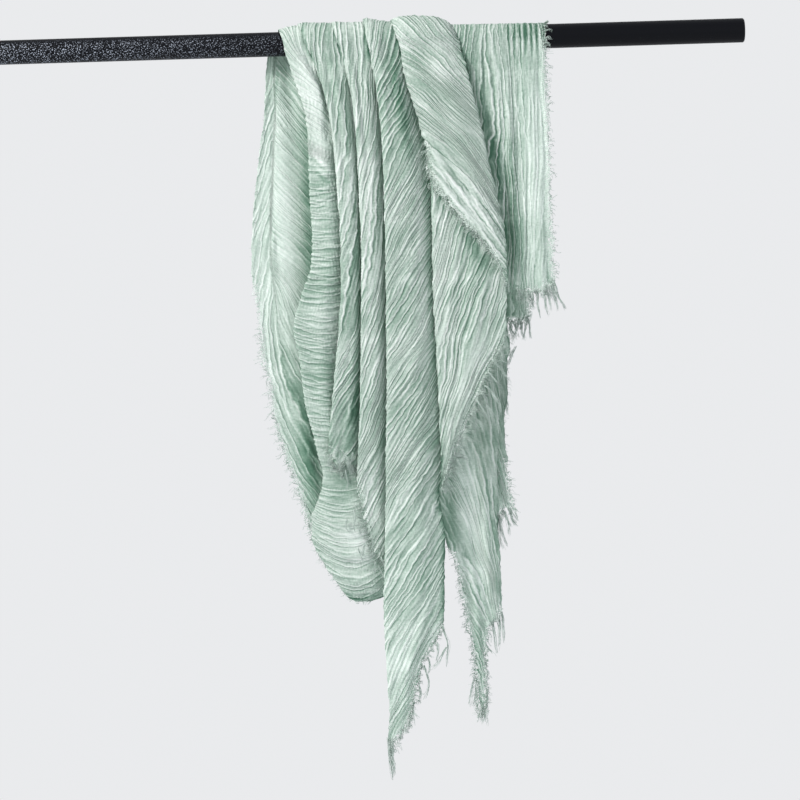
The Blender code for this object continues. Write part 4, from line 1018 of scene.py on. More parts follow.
# ---- The side pleat ------------------------------------------------------------------------------
# The next stretch of the same gauze, folded into one long pleat over the cowl's right side. Its
# left edge is turned under, and it ends in a frayed edge that lies on the cowl.
SIDE_PLEAT_FRONT = (
    # z, left, right, out_left, out_right, belly, roll
    (0.014, -0.1040, -0.0705, 0.0137, 0.0137, 0.000, 0.000),
    (0.000, -0.0980, -0.0653, 0.0140, 0.0137, 0.000, 0.000),
    (-0.015, -0.0925, -0.0565, 0.0170, 0.0172, 0.000, 0.000),
    (-0.022, -0.0895, -0.0530, 0.0178, 0.0165, 0.000, 0.000),
    (-0.030, -0.0865, -0.0495, 0.0195, 0.0158, 0.001, 0.001),
    (-0.060, -0.0780, -0.0460, 0.0250, 0.0140, 0.001, 0.003),
    (-0.100, -0.0720, -0.0420, 0.0270, 0.0140, 0.001, 0.003),
    (-0.150, -0.0690, -0.0405, 0.0280, 0.0140, 0.001, 0.003),
    (-0.200, -0.0670, -0.0400, 0.0285, 0.0140, 0.001, 0.003),
    (-0.250, -0.0680, -0.0410, 0.0290, 0.0140, 0.001, 0.003),
    (-0.300, -0.0720, -0.0430, 0.0290, 0.0140, 0.001, 0.003),
    (-0.350, -0.0780, -0.0440, 0.0280, 0.0140, 0.001, 0.003),
    (-0.400, -0.0840, -0.0480, 0.0238, 0.0150, 0.001, 0.002),
    (-0.418, -0.0860, -0.0500, 0.0222, 0.0160, 0.001, 0.000),
    (-0.438, -0.0830, -0.0520, 0.0208, 0.0170, 0.001, 0.000),
)
SIDE_PLEAT_BACK = (
    # z, left, right, out_left, out_right, belly, roll
    (0.014, -0.1040, -0.0705, 0.0137, 0.0137, 0.000, 0.000),
    (0.000, -0.1040, -0.0695, 0.0138, 0.0137, 0.000, 0.000),
    (-0.015, -0.1040, -0.0680, 0.0145, 0.0140, 0.000, 0.000),
    (-0.030, -0.1038, -0.0660, 0.0165, 0.0155, 0.000, 0.000),
    (-0.050, -0.1040, -0.0630, 0.0200, 0.0185, 0.001, 0.000),
    (-0.100, -0.1060, -0.0590, 0.0230, 0.0210, 0.002, 0.002),
    (-0.200, -0.1100, -0.0560, 0.0250, 0.0220, 0.003, 0.003),
    (-0.300, -0.1120, -0.0560, 0.0250, 0.0220, 0.003, 0.003),
    (-0.400, -0.1050, -0.0570, 0.0240, 0.0210, 0.003, 0.003),
    (-0.455, -0.0960, -0.0600, 0.0230, 0.0210, 0.003, 0.002),
    (-0.480, -0.0900, -0.0620, 0.0230, 0.0210, 0.002, 0.000),
)
SIDE_PLEAT_FRONT_LEANS = (
    (0.000, -4.0, 0.0, 2.0),
    (-0.100, 6.0, 9.0, 8.0),
    (-0.250, 12.0, 16.0, 14.0),
    (-0.320, 18.0, 26.0, 22.0),
    (-0.438, 26.0, 32.0, 30.0),
)
PLEAT_BACK_LEANS = (
    (0.000, 0.0, 0.0, 0.0),
    (-0.150, 6.0, 4.0, -6.0),
    (-0.300, -6.0, 4.0, 8.0),
    (-0.700, -8.0, -4.0, 6.0),
)

gauze_stretch(
    "side_pleat", SIDE_PLEAT_FRONT, SIDE_PLEAT_BACK,
    gather=((0.0, 0.0060), (0.15, 0.0073), (0.9, 0.0068), (1.0, 0.0060)),
    ripples=((0.0005, 2), (0.0012, 1)), mesh=(38, 280, 190),
    leans=(SIDE_PLEAT_FRONT_LEANS, PLEAT_BACK_LEANS),
    crinkle=(0.0036, 0.100, 0.00034), broad=(0.0085, 0.120, 0.00022),
    creases=(
        ("front", -0.0012, 0.0022, ((-0.088, 0.004), (-0.072, -0.040), (-0.062, -0.100), (-0.058, -0.160))),
        ("front", 0.0012, 0.0025, ((-0.082, 0.004), (-0.066, -0.040), (-0.056, -0.100))),
        ("front", -0.0012, 0.0035, ((-0.055, -0.300), (-0.064, -0.360), (-0.072, -0.410))),
        ("front", 0.0014, 0.0030, ((-0.050, -0.280), (-0.060, -0.345), (-0.070, -0.390))),
        ("back", -0.0020, 0.0050, ((-0.085, -0.030), (-0.080, -0.200), (-0.082, -0.420))),
    ),
    # strokes of painted light and painted shade
    tones=(
        ("front", 0.10, 0.008, ((-0.095, 0.006), (-0.078, -0.040), (-0.066, -0.120), (-0.063, -0.220))),
        ("front", -0.24, 0.009, ((-0.046, -0.060), (-0.043, -0.200), (-0.047, -0.400))),
        ("front", -0.26, 0.010, ((-0.050, -0.330), (-0.056, -0.390), (-0.062, -0.436))),
    ),
    tone=0.50, flat=(0.064, 0.96), area=0.045, seed=12, lines=1.28,
    raw=(("front", "hem", 0.0, 1.0), ("back", "hem", 0.0, 1.0)), shade=(0.12, 0.46),
    hems=(((0.0, -0.008), (0.25, 0.003), (0.5, -0.004), (0.8, 0.005), (1.0, 0.0)),
          ((0.0, 0.004), (0.5, -0.005), (1.0, 0.003))),
)


frayed_edge("side_pleat_fringe", "side_pleat", (
    ("front", "hem", 0.0, 1.0, 90, 0.0120, 0.75, 0.15, 0.0028),
    ("front", "left", -0.410, -0.438, 14, 0.0060, 0.5, -0.2, 0.0016),
    ("back", "hem", 0.0, 1.0, 50, 0.0100, 0.8, 0.1, 0.0014),
), 22, locks=(
    # y, threads, width, line of x and z
    (-0.0300, 7, 0.0016, ((-0.0855, -0.4155), (-0.0747, -0.4221), (-0.0767, -0.4361))),
    (-0.0275, 7, 0.0016, ((-0.0731, -0.4190), (-0.0671, -0.4302), (-0.0659, -0.4428))),
    (-0.0260, 6, 0.0014, ((-0.0606, -0.4225), (-0.0641, -0.4334), (-0.0637, -0.4460))),
    (-0.0290, 7, 0.0016, ((-0.0826, -0.4234), (-0.0868, -0.4327), (-0.0831, -0.4407))),
    (-0.0250, 5, 0.0012, ((-0.0693, -0.4400), (-0.0680, -0.4584), (-0.0697, -0.4646))),
    (-0.0280, 6, 0.0014, ((-0.0796, -0.4266), (-0.0735, -0.4331), (-0.0754, -0.4425))),
))


# ---- The middle pleat ----------------------------------------------------------------------------
# A second long pleat beside the first, over its right side. Its torn lower edge slants down to the
# right across the cowl, with loose threads tangled on it.
MIDDLE_PLEAT_FRONT = (
    # z, left, right, out_left, out_right, belly, roll
    (0.014, -0.0700, -0.0385, 0.0137, 0.0137, 0.000, 0.000),
    (0.000, -0.0648, -0.0348, 0.0140, 0.0137, 0.000, 0.000),
    (-0.015, -0.0605, -0.0320, 0.0178, 0.0175, 0.000, 0.000),
    (-0.022, -0.0587, -0.0285, 0.0190, 0.0168, 0.000, 0.000),
    (-0.030, -0.0570, -0.0240, 0.0212, 0.0160, 0.001, 0.001),
    (-0.050, -0.0530, -0.0200, 0.0260, 0.0145, 0.001, 0.003),
    (-0.075, -0.0500, -0.0180, 0.0280, 0.0145, 0.001, 0.003),
    (-0.100, -0.0480, -0.0160, 0.0290, 0.0145, 0.001, 0.003),
    (-0.200, -0.0460, -0.0150, 0.0300, 0.0145, 0.001, 0.003),
    (-0.300, -0.0490, -0.0170, 0.0300, 0.0145, 0.001, 0.003),
    (-0.370, -0.0520, -0.0185, 0.0300, 0.0145, 0.001, 0.003),
    (-0.430, -0.0560, -0.0210, 0.0275, 0.0145, 0.001, 0.002),
    (-0.458, -0.0580, -0.0220, 0.0240, 0.0145, 0.001, 0.000),
    (-0.480, -0.0560, -0.0230, 0.0220, 0.0145, 0.001, 0.000),
    (-0.500, -0.0520, -0.0240, 0.0212, 0.0145, 0.001, 0.000),
    (-0.520, -0.0460, -0.0245, 0.0202, 0.0145, 0.000, 0.000),
    (-0.533, -0.0390, -0.0245, 0.0190, 0.0145, 0.000, 0.000),
    (-0.545, -0.0310, -0.0250, 0.0165, 0.0150, 0.000, 0.000),
)
MIDDLE_PLEAT_BACK = (
    # z, left, right, out_left, out_right, belly, roll
    (0.014, -0.0700, -0.0385, 0.0137, 0.0137, 0.000, 0.000),
    (0.000, -0.0690, -0.0370, 0.0137, 0.0137, 0.000, 0.000),
    (-0.015, -0.0675, -0.0355, 0.0138, 0.0138, 0.000, 0.000),
    (-0.030, -0.0655, -0.0345, 0.0140, 0.0140, 0.000, 0.000),
    (-0.050, -0.0650, -0.0320, 0.0142, 0.0142, 0.000, 0.000),
    (-0.100, -0.0640, -0.0280, 0.0150, 0.0150, 0.001, 0.000),
    (-0.200, -0.0600, -0.0240, 0.0150, 0.0150, 0.002, 0.000),
    (-0.300, -0.0560, -0.0220, 0.0150, 0.0150, 0.002, 0.000),
    (-0.400, -0.0530, -0.0200, 0.0140, 0.0150, 0.002, 0.000),
    (-0.480, -0.0500, -0.0180, 0.0130, 0.0150, 0.002, 0.000),
    (-0.520, -0.0470, -0.0180, 0.0130, 0.0150, 0.001, 0.000),
)
MIDDLE_PLEAT_FRONT_LEANS = (
    (0.000, -3.0, 0.0, 2.0),
    (-0.080, 4.0, 8.0, 8.0),
    (-0.200, 12.0, 16.0, 15.0),
    (-0.330, 20.0, 26.0, 22.0),
    (-0.450, 28.0, 32.0, 30.0),
    (-0.545, 24.0, 28.0, 28.0),
)

gauze_stretch(
    "middle_pleat", MIDDLE_PLEAT_FRONT, MIDDLE_PLEAT_BACK,
    gather=((0.0, 0.0066), (0.1, 0.0072), (0.6, 0.0063), (1.0, 0.0070)),
    ripples=((0.0005, 2), (0.0010, 1)), mesh=(38, 345, 205),
    leans=(MIDDLE_PLEAT_FRONT_LEANS, PLEAT_BACK_LEANS),
    crinkle=(0.0036, 0.100, 0.00034), broad=(0.0085, 0.120, 0.00022),
    creases=(
        ("front", -0.0012, 0.0022, ((-0.050, 0.006), (-0.041, -0.050), (-0.034, -0.150))),
        ("front", 0.0012, 0.0026, ((-0.056, 0.006), (-0.046, -0.050), (-0.040, -0.150))),
        ("front", 0.0010, 0.0035, ((-0.028, -0.300), (-0.036, -0.360), (-0.044, -0.420))),
        ("back", -0.0020, 0.0050, ((-0.050, -0.030), (-0.042, -0.200), (-0.036, -0.480))),
    ),
    # strokes of painted light and painted shade
    tones=(
        ("front", -0.16, 0.007, ((-0.020, -0.060), (-0.016, -0.200), (-0.019, -0.380), (-0.024, -0.500))),
        ("front", 0.10, 0.010, ((-0.042, -0.060), (-0.036, -0.200), (-0.040, -0.340))),
        ("front", 0.14, 0.010, ((-0.050, -0.440), (-0.040, -0.510))),
    ),
    tone=0.52, flat=(0.045, 1.11), area=0.041, seed=13, lines=1.42,
    raw=(("front", "left", -0.462, -0.545), ("front", "hem", 0.0, 1.0), ("back", "hem", 0.0, 1.0)),
    shade=(0.08, 0.46),
    hems=(((0.0, 0.0), (1.0, 0.0)), ((0.0, -0.004), (0.5, 0.004), (1.0, -0.003))),
)


frayed_edge("middle_pleat_fringe", "middle_pleat", (
    ("front", "left", -0.470, -0.545, 64, 0.0075, 0.65, -0.15, 0.0026),
    ("front", "hem", 0.0, 1.0, 16, 0.0090, 0.8, 0.0, 0.0014),
    ("back", "hem", 0.0, 1.0, 46, 0.0100, 0.8, 0.1, 0.0014),
), 23, locks=(
    # y, threads, width, line of x and z
    (-0.0250, 6, 0.0012, ((-0.0616, -0.4806), (-0.0628, -0.4946), (-0.0616, -0.5057))),
    (-0.0260, 5, 0.0010, ((-0.0444, -0.5093), (-0.0432, -0.5203), (-0.0443, -0.5313))),
    (-0.0240, 6, 0.0010, ((-0.0413, -0.5345), (-0.0424, -0.5455), (-0.0420, -0.5581))),
    (-0.0220, 8, 0.0012, ((-0.0356, -0.5300), (-0.0298, -0.5459), (-0.0254, -0.5554))),
    (-0.0230, 5, 0.0010, ((-0.0589, -0.5199), (-0.0561, -0.5325), (-0.0499, -0.5343))),
    (-0.0250, 5, 0.0010, ((-0.0534, -0.4949), (-0.0568, -0.5027), (-0.0523, -0.5107))),
    (-0.0240, 6, 0.0010, ((-0.0493, -0.5139), (-0.0542, -0.5216), (-0.0529, -0.5295))),
    (-0.0245, 5, 0.0010, ((-0.0689, -0.4897), (-0.0708, -0.4991), (-0.0663, -0.5071))),
    (-0.0225, 5, 0.0010, ((-0.0383, -0.5393), (-0.0346, -0.5489), (-0.0364, -0.5567))),
))


# ---- The long tail -------------------------------------------------------------------------------
# The long panel in the middle, on the bias: its crinkles slant up to the right. It narrows to the
# scarf's lowest point, and its right lower edge is the scarf's fringed end.
LONG_TAIL_FRONT = (
    # z, left, right, out_left, out_right, belly, roll
    (0.014, -0.0380, -0.0100, 0.0137, 0.0137, 0.000, 0.000),
    (0.000, -0.0343, -0.0040, 0.0140, 0.0137, 0.000, 0.000),
    (-0.015, -0.0315, 0.0000, 0.0182, 0.0165, 0.000, 0.000),
    (-0.022, -0.0302, 0.0040, 0.0200, 0.0160, 0.000, 0.000),
    (-0.030, -0.0290, 0.0075, 0.0228, 0.0155, 0.001, 0.001),
    (-0.050, -0.0260, 0.0120, 0.0280, 0.0145, 0.001, 0.003),
    (-0.075, -0.0240, 0.0175, 0.0300, 0.0145, 0.001, 0.003),
    (-0.100, -0.0220, 0.0240, 0.0310, 0.0145, 0.002, 0.003),
    (-0.150, -0.0210, 0.0320, 0.0320, 0.0145, 0.002, 0.003),
    (-0.200, -0.0210, 0.0330, 0.0320, 0.0145, 0.002, 0.003),
    (-0.250, -0.0220, 0.0325, 0.0320, 0.0145, 0.002, 0.003),
    (-0.300, -0.0230, 0.0335, 0.0320, 0.0145, 0.002, 0.003),
    (-0.350, -0.0240, 0.0345, 0.0320, 0.0145, 0.002, 0.003),
    (-0.400, -0.0260, 0.0345, 0.0320, 0.0150, 0.002, 0.003),
    (-0.440, -0.0277, 0.0320, 0.0310, 0.0155, 0.002, 0.003),
    (-0.468, -0.0285, 0.0255, 0.0300, 0.0170, 0.003, 0.003),
    (-0.490, -0.0295, 0.0280, 0.0295, 0.0175, 0.003, 0.003),
    (-0.510, -0.0305, 0.0310, 0.0290, 0.0180, 0.003, 0.003),
    (-0.550, -0.0325, 0.0290, 0.0275, 0.0190, 0.003, 0.003),
    (-0.580, -0.0340, 0.0280, 0.0270, 0.0195, 0.003, 0.003),
    (-0.607, -0.0340, 0.0245, 0.0265, 0.0200, 0.002, 0.003),
    (-0.632, -0.0335, 0.0100, 0.0260, 0.0210, 0.002, 0.003),
    (-0.645, -0.0330, 0.0035, 0.0260, 0.0215, 0.002, 0.003),
    (-0.660, -0.0325, 0.0000, 0.0255, 0.0220, 0.001, 0.002),
    (-0.680, -0.0315, -0.0050, 0.0255, 0.0225, 0.001, 0.000),
    (-0.700, -0.0320, -0.0110, 0.0250, 0.0230, 0.000, 0.000),
    (-0.713, -0.0328, -0.0200, 0.0250, 0.0235, 0.000, 0.000),
    (-0.725, -0.0335, -0.0290, 0.0245, 0.0240, 0.000, 0.000),
)
LONG_TAIL_BACK = (
    # z, left, right, out_left, out_right, belly, roll
    (0.014, -0.0380, -0.0100, 0.0137, 0.0137, 0.000, 0.000),
    (0.000, -0.0365, -0.0090, 0.0138, 0.0137, 0.000, 0.000),
    (-0.015, -0.0350, -0.0070, 0.0145, 0.0140, 0.000, 0.000),
    (-0.030, -0.0340, -0.0045, 0.0165, 0.0160, 0.000, 0.000),
    (-0.050, -0.0345, -0.0020, 0.0200, 0.0190, 0.001, 0.000),
    (-0.100, -0.0360, 0.0040, 0.0225, 0.0210, 0.002, 0.000),
    (-0.200, -0.0380, 0.0080, 0.0235, 0.0215, 0.003, 0.000),
    (-0.300, -0.0340, 0.0120, 0.0235, 0.0215, 0.003, 0.000),
    (-0.380, -0.0280, 0.0160, 0.0230, 0.0210, 0.003, 0.000),
    (-0.440, -0.0200, 0.0180, 0.0220, 0.0210, 0.002, 0.000),
)
LONG_TAIL_FRONT_LEANS = (
    (0.000, 10.0, 14.0, 12.0),
    (-0.050, 20.0, 24.0, 24.0),
    (-0.120, 27.0, 31.0, 33.0),
    (-0.300, 33.0, 37.0, 38.0),
    (-0.500, 32.0, 37.0, 36.0),
    (-0.600, 26.0, 30.0, 28.0),
    (-0.725, 20.0, 24.0, 24.0),
)
TAIL_BACK_LEANS = (
    (0.000, 4.0, 0.0, -4.0),
    (-0.150, -10.0, -6.0, 0.0),
    (-0.440, -16.0, -12.0, -4.0),
)

gauze_stretch(
    "long_tail", LONG_TAIL_FRONT, LONG_TAIL_BACK,
    gather=((0.0, 0.0080), (0.12, 0.0102), (0.45, 0.0080), (1.0, 0.0060)),
    ripples=((0.0006, 2), (0.0015, 1)), mesh=(56, 500, 170),
    leans=(LONG_TAIL_FRONT_LEANS, TAIL_BACK_LEANS),
    crinkle=(0.0042, 0.085, 0.00042), broad=(0.0095, 0.100, 0.00022),
    creases=(
        ("front", -0.0016, 0.0030, ((-0.014, 0.004), (-0.008, -0.045), (-0.003, -0.090))),
        ("front", 0.0014, 0.0030, ((-0.024, 0.004), (-0.016, -0.060), (-0.012, -0.120))),
        ("front", -0.0012, 0.0050, ((0.020, -0.180), (0.006, -0.215), (-0.012, -0.250))),
        ("front", 0.0012, 0.0050, ((0.024, -0.300), (0.006, -0.335), (-0.016, -0.375))),
        ("front", -0.0014, 0.0045, ((0.022, -0.395), (0.004, -0.425), (-0.018, -0.460))),
        ("front", 0.0014, 0.0045, ((0.022, -0.500), (0.004, -0.530), (-0.020, -0.575))),
        ("front", -0.0012, 0.0040, ((0.016, -0.560), (0.000, -0.600), (-0.016, -0.650))),
        ("front", 0.0012, 0.0035, ((0.010, -0.590), (-0.006, -0.640), (-0.022, -0.700))),
        ("back", -0.0020, 0.0060, ((-0.022, -0.030), (-0.018, -0.200), (-0.002, -0.420))),
        ("back", 0.0018, 0.0050, ((-0.012, -0.060), (-0.008, -0.220), (0.006, -0.400))),
    ),
    # strokes of painted light and painted shade
    tones=(
        ("front", -0.36, 0.007, ((-0.013, 0.008), (-0.004, -0.040), (0.004, -0.085), (0.012, -0.140))),
        ("front", -0.24, 0.008, ((0.016, -0.060), (0.029, -0.130), (0.031, -0.300), (0.033, -0.440))),
        ("front", 0.10, 0.020, ((-0.010, -0.520), (-0.016, -0.620), (-0.024, -0.700))),
        ("front", 0.16, 0.006, ((0.018, -0.100), (0.019, -0.230), (0.020, -0.350))),
    ),
    tone=0.50, flat=(0.072, 1.21), area=0.063, seed=14, lines=1.25,
    raw=(("front", "hem", 0.0, 1.0), ("front", "right", -0.605, -0.725), ("back", "hem", 0.0, 1.0)),
    shade=(0.0, 0.34),
    hems=(((0.0, 0.0), (1.0, 0.0)), ((0.0, -0.005), (0.5, 0.004), (1.0, -0.004))),
)


frayed_edge("long_tail_fringe", "long_tail", (
    ("front", "right", -0.600, -0.725, 190, 0.0085, 0.75, 0.30, 0.0016),
    ("front", "right", -0.480, -0.600, 14, 0.0030, 0.5, 0.1, 0.0008),
    ("back", "hem", 0.0, 1.0, 50, 0.0100, 0.8, 0.1, 0.0014),
), 24, locks=(
    # y, threads, width, line of x and z
    (-0.0200, 9, 0.0022, ((0.0250, -0.6020), (0.0295, -0.6224), (0.0286, -0.6341), (0.0300, -0.6483))),
    (-0.0195, 8, 0.0018, ((0.0289, -0.6247), (0.0219, -0.6363), (0.0165, -0.6444), (0.0081, -0.6488))),
    (-0.0205, 7, 0.0018, ((0.0190, -0.6200), (0.0211, -0.6320), (0.0177, -0.6444))),
    (-0.0205, 7, 0.0018, ((0.0090, -0.6340), (0.0110, -0.6430), (0.0081, -0.6520))),
    (-0.0210, 8, 0.0018, ((0.0050, -0.6420), (0.0103, -0.6590), (0.0074, -0.6723), (0.0026, -0.6769))),
    (-0.0215, 7, 0.0016, ((-0.0010, -0.6600), (0.0010, -0.6711), (-0.0005, -0.6780), (-0.0017, -0.6850))),
    (-0.0220, 7, 0.0016, ((-0.0060, -0.6800), (-0.0086, -0.6947), (-0.0070, -0.7048))),
    (-0.0222, 7, 0.0016, ((-0.0100, -0.6900), (-0.0141, -0.7058), (-0.0133, -0.7129))),
    (-0.0226, 6, 0.0014, ((-0.0180, -0.7010), (-0.0197, -0.7130), (-0.0192, -0.7193))),
))
frayed_edge("long_tail_tip_threads", "long_tail", (
    ("front", "hem", 0.0, 1.0, 26, 0.0260, 0.95, 0.06, 0.0010),
), 25, locks=(
    (-0.0245, 16, 0.0050, ((-0.0330, -0.7150), (-0.0325, -0.7350), (-0.0308, -0.7500), (-0.0294, -0.7610))),
    (-0.0245, 12, 0.0040, ((-0.0305, -0.7150), (-0.0312, -0.7350), (-0.0302, -0.7480), (-0.0296, -0.7570))),
))


# ---- The under fall and the short tail -----------------------------------------------------------
# The panel that hangs under the flap, with a fringed edge that slants down to the left. Behind the
# rod the same stretch runs down to the short pointed tail.
UNDER_FALL_FRONT = (
    # z, left, right, out_left, out_right, belly, roll
    (0.014, 0.0000, 0.0420, 0.0137, 0.0137, 0.000, 0.000),
    (0.000, 0.0050, 0.0460, 0.0137, 0.0137, 0.000, 0.000),
    (-0.015, 0.0090, 0.0500, 0.0142, 0.0142, 0.000, 0.000),
    (-0.050, 0.0150, 0.0610, 0.0180, 0.0185, 0.000, 0.000),
    (-0.075, 0.0190, 0.0690, 0.0205, 0.0200, 0.000, 0.001),
    (-0.100, 0.0220, 0.0760, 0.0230, 0.0205, 0.000, 0.002),
    (-0.155, 0.0270, 0.0860, 0.0255, 0.0210, 0.000, 0.003),
    (-0.200, 0.0270, 0.0940, 0.0260, 0.0215, 0.000, 0.003),
    (-0.230, 0.0262, 0.0980, 0.0260, 0.0215, 0.000, 0.003),
    (-0.256, 0.0262, 0.1010, 0.0260, 0.0215, 0.001, 0.003),
    (-0.300, 0.0270, 0.1000, 0.0260, 0.0215, 0.001, 0.003),
    (-0.315, 0.0275, 0.0975, 0.0260, 0.0220, 0.001, 0.003),
    (-0.330, 0.0278, 0.0900, 0.0260, 0.0220, 0.001, 0.003),
    (-0.347, 0.0280, 0.0800, 0.0260, 0.0225, 0.001, 0.003),
    (-0.375, 0.0285, 0.0680, 0.0260, 0.0225, 0.001, 0.003),
    (-0.407, 0.0290, 0.0530, 0.0255, 0.0225, 0.001, 0.002),
    (-0.432, 0.0290, 0.0425, 0.0255, 0.0225, 0.000, 0.000),
    (-0.450, 0.0285, 0.0365, 0.0250, 0.0225, 0.000, 0.000),
    (-0.466, 0.0275, 0.0310, 0.0240, 0.0225, 0.000, 0.000),
)
SHORT_TAIL_BACK = (
    # z, left, right, out_left, out_right, belly, roll
    (0.014, 0.0000, 0.0420, 0.0137, 0.0137, 0.000, 0.000),
    (0.000, 0.0020, 0.0440, 0.0137, 0.0137, 0.000, 0.000),
    (-0.015, 0.0040, 0.0480, 0.0138, 0.0138, 0.000, 0.000),
    (-0.050, 0.0080, 0.0590, 0.0142, 0.0142, 0.000, 0.000),
    (-0.100, 0.0120, 0.0770, 0.0145, 0.0145, 0.001, 0.000),
    (-0.150, 0.0150, 0.0870, 0.0145, 0.0145, 0.001, 0.000),
    (-0.200, 0.0180, 0.0960, 0.0140, 0.0145, 0.001, 0.000),
    (-0.300, 0.0230, 0.0975, 0.0120, 0.0140, 0.001, 0.000),
    (-0.400, 0.0250, 0.0910, 0.0080, 0.0130, 0.000, 0.000),
    (-0.450, 0.0250, 0.0870, 0.0060, 0.0120, -0.001, 0.000),
    (-0.500, 0.0280, 0.0862, 0.0040, 0.0110, -0.002, 0.000),
    (-0.515, 0.0310, 0.0868, 0.0035, 0.0105, -0.002, 0.000),
    (-0.535, 0.0378, 0.0875, 0.0030, 0.0100, -0.002, 0.000),
    (-0.575, 0.0455, 0.0880, 0.0020, 0.0090, -0.002, 0.000),
    (-0.598, 0.0490, 0.0875, 0.0020, 0.0080, -0.001, 0.000),
    (-0.604, 0.0500, 0.0800, 0.0020, 0.0070, -0.001, 0.000),
    (-0.612, 0.0515, 0.0740, 0.0020, 0.0060, -0.001, 0.000),
    (-0.640, 0.0555, 0.0715, 0.0020, 0.0050, 0.000, 0.000),
    (-0.660, 0.0570, 0.0708, 0.0020, 0.0040, 0.000, 0.000),
    (-0.680, 0.0580, 0.0700, 0.0020, 0.0035, 0.000, 0.000),
    (-0.694, 0.0610, 0.0680, 0.0020, 0.0030, 0.000, 0.000),
)
UNDER_FALL_FRONT_LEANS = (
    (0.000, 4.0, 6.0, 6.0),
    (-0.150, 14.0, 17.0, 17.0),
    (-0.260, 16.0, 19.0, 22.0),
    (-0.350, 16.0, 20.0, 26.0),
    (-0.466, 14.0, 16.0, 20.0),
)
SHORT_TAIL_LEANS = (
    (0.000, 2.0, 0.0, -2.0),
    (-0.300, -8.0, -10.0, -6.0),
    (-0.450, -20.0, -22.0, -8.0),
    (-0.600, -24.0, -22.0, -6.0),
    (-0.694, -6.0, -4.0, 4.0),
)

gauze_stretch(
    "under_fall", UNDER_FALL_FRONT, SHORT_TAIL_BACK,
    gather=((0.0, 0.0003), (0.5, 0.0010), (1.0, 0.0003)),
    ripples=((0.0006, 2), (0.0010, 2)), mesh=(56, 290, 400),
    leans=(UNDER_FALL_FRONT_LEANS, SHORT_TAIL_LEANS),
    crinkle=(0.0042, 0.110, 0.00040), broad=(0.0095, 0.130, 0.00030),
    creases=(
        ("front", 0.0014, 0.0035, ((0.060, -0.190), (0.050, -0.240), (0.038, -0.310))),
        ("front", -0.0014, 0.0035, ((0.068, -0.210), (0.058, -0.260), (0.047, -0.330))),
        ("front", 0.0014, 0.0040, ((0.084, -0.240), (0.072, -0.290), (0.060, -0.340))),
        ("front", -0.0012, 0.0035, ((0.060, -0.300), (0.050, -0.350), (0.040, -0.400))),
        ("front", 0.0012, 0.0030, ((0.048, -0.350), (0.040, -0.400), (0.034, -0.450))),
        ("back", -0.0030, 0.0035, ((0.072, -0.430), (0.074, -0.500), (0.078, -0.580))),
        ("back", 0.0022, 0.0045, ((0.050, -0.440), (0.060, -0.510), (0.068, -0.590))),
        ("back", 0.0016, 0.0035, ((0.042, -0.520), (0.050, -0.570), (0.058, -0.630))),
        ("back", -0.0014, 0.0030, ((0.056, -0.540), (0.062, -0.590), (0.065, -0.660))),
    ),
    # strokes of painted light and painted shade
    tones=(
        ("front", 0.10, 0.012, ((0.036, -0.170), (0.035, -0.260), (0.034, -0.360))),
        ("front", -0.22, 0.007, ((0.046, -0.180), (0.066, -0.207), (0.088, -0.246))),
        ("front", -0.14, 0.005, ((0.076, -0.230), (0.064, -0.280), (0.050, -0.340))),
        ("front", 0.12, 0.010, ((0.090, -0.260), (0.078, -0.310), (0.060, -0.360), (0.044, -0.420))),
        ("front", 0.22, 0.0016, ((0.076, -0.355), (0.066, -0.378), (0.050, -0.412), (0.038, -0.444))),
        ("back", -0.20, 0.006, ((0.038, -0.445), (0.038, -0.490), (0.041, -0.520))),
        ("back", -0.08, 0.010, ((0.084, -0.400), (0.086, -0.470), (0.086, -0.590))),
        ("back", 0.20, 0.016, ((0.054, -0.440), (0.062, -0.520), (0.066, -0.600))),
        ("back", -0.12, 0.012, ((0.064, -0.620), (0.064, -0.690))),
    ),
    tone=0.51, flat=(0.082, 1.20), area=0.068, seed=15, lines=1.38,
    raw=(("front", "hem", 0.0, 1.0), ("front", "right", -0.310, -0.466), ("back", "left", -0.530, -0.694),
         ("back", "right", -0.590, -0.694), ("back", "hem", 0.0, 1.0)),
    shade=(0.24, 0.0),
    hems=(((0.0, 0.0), (1.0, 0.0)), ((0.0, 0.006), (0.4, -0.004), (0.7, 0.007), (1.0, 0.0))),
)


frayed_edge("under_fall_fringe", "under_fall", (
    ("front", "right", -0.300, -0.360, 80, 0.0110, 0.60, 0.50, 0.0022),
    ("front", "right", -0.360, -0.466, 240, 0.0180, 0.62, 0.60, 0.0022),
    ("front", "hem", 0.0, 1.0, 16, 0.0100, 0.8, 0.2, 0.0014),
), 26, locks=(
    # y, threads, width, line of x and z
    (-0.0270, 12, 0.0024, ((0.0752, -0.3581), (0.0843, -0.3657), (0.0902, -0.3805), (0.0930, -0.3921))),
    (-0.0268, 9, 0.0020, ((0.0720, -0.3640), (0.0817, -0.3855), (0.0844, -0.3991))),
    (-0.0268, 9, 0.0020, ((0.0660, -0.3720), (0.0754, -0.3863), (0.0812, -0.4001))),
    (-0.0262, 8, 0.0020, ((0.0833, -0.3301), (0.0893, -0.3397), (0.0974, -0.3483), (0.1023, -0.3589))),
    (-0.0262, 8, 0.0020, ((0.0798, -0.3446), (0.0869, -0.3511), (0.0929, -0.3586))),
    (-0.0258, 8, 0.0020, ((0.0600, -0.3860), (0.0709, -0.3966), (0.0736, -0.4103))),
    (-0.0262, 8, 0.0020, ((0.0899, -0.3219), (0.0960, -0.3263), (0.0937, -0.3346), (0.1000, -0.3380))),
))
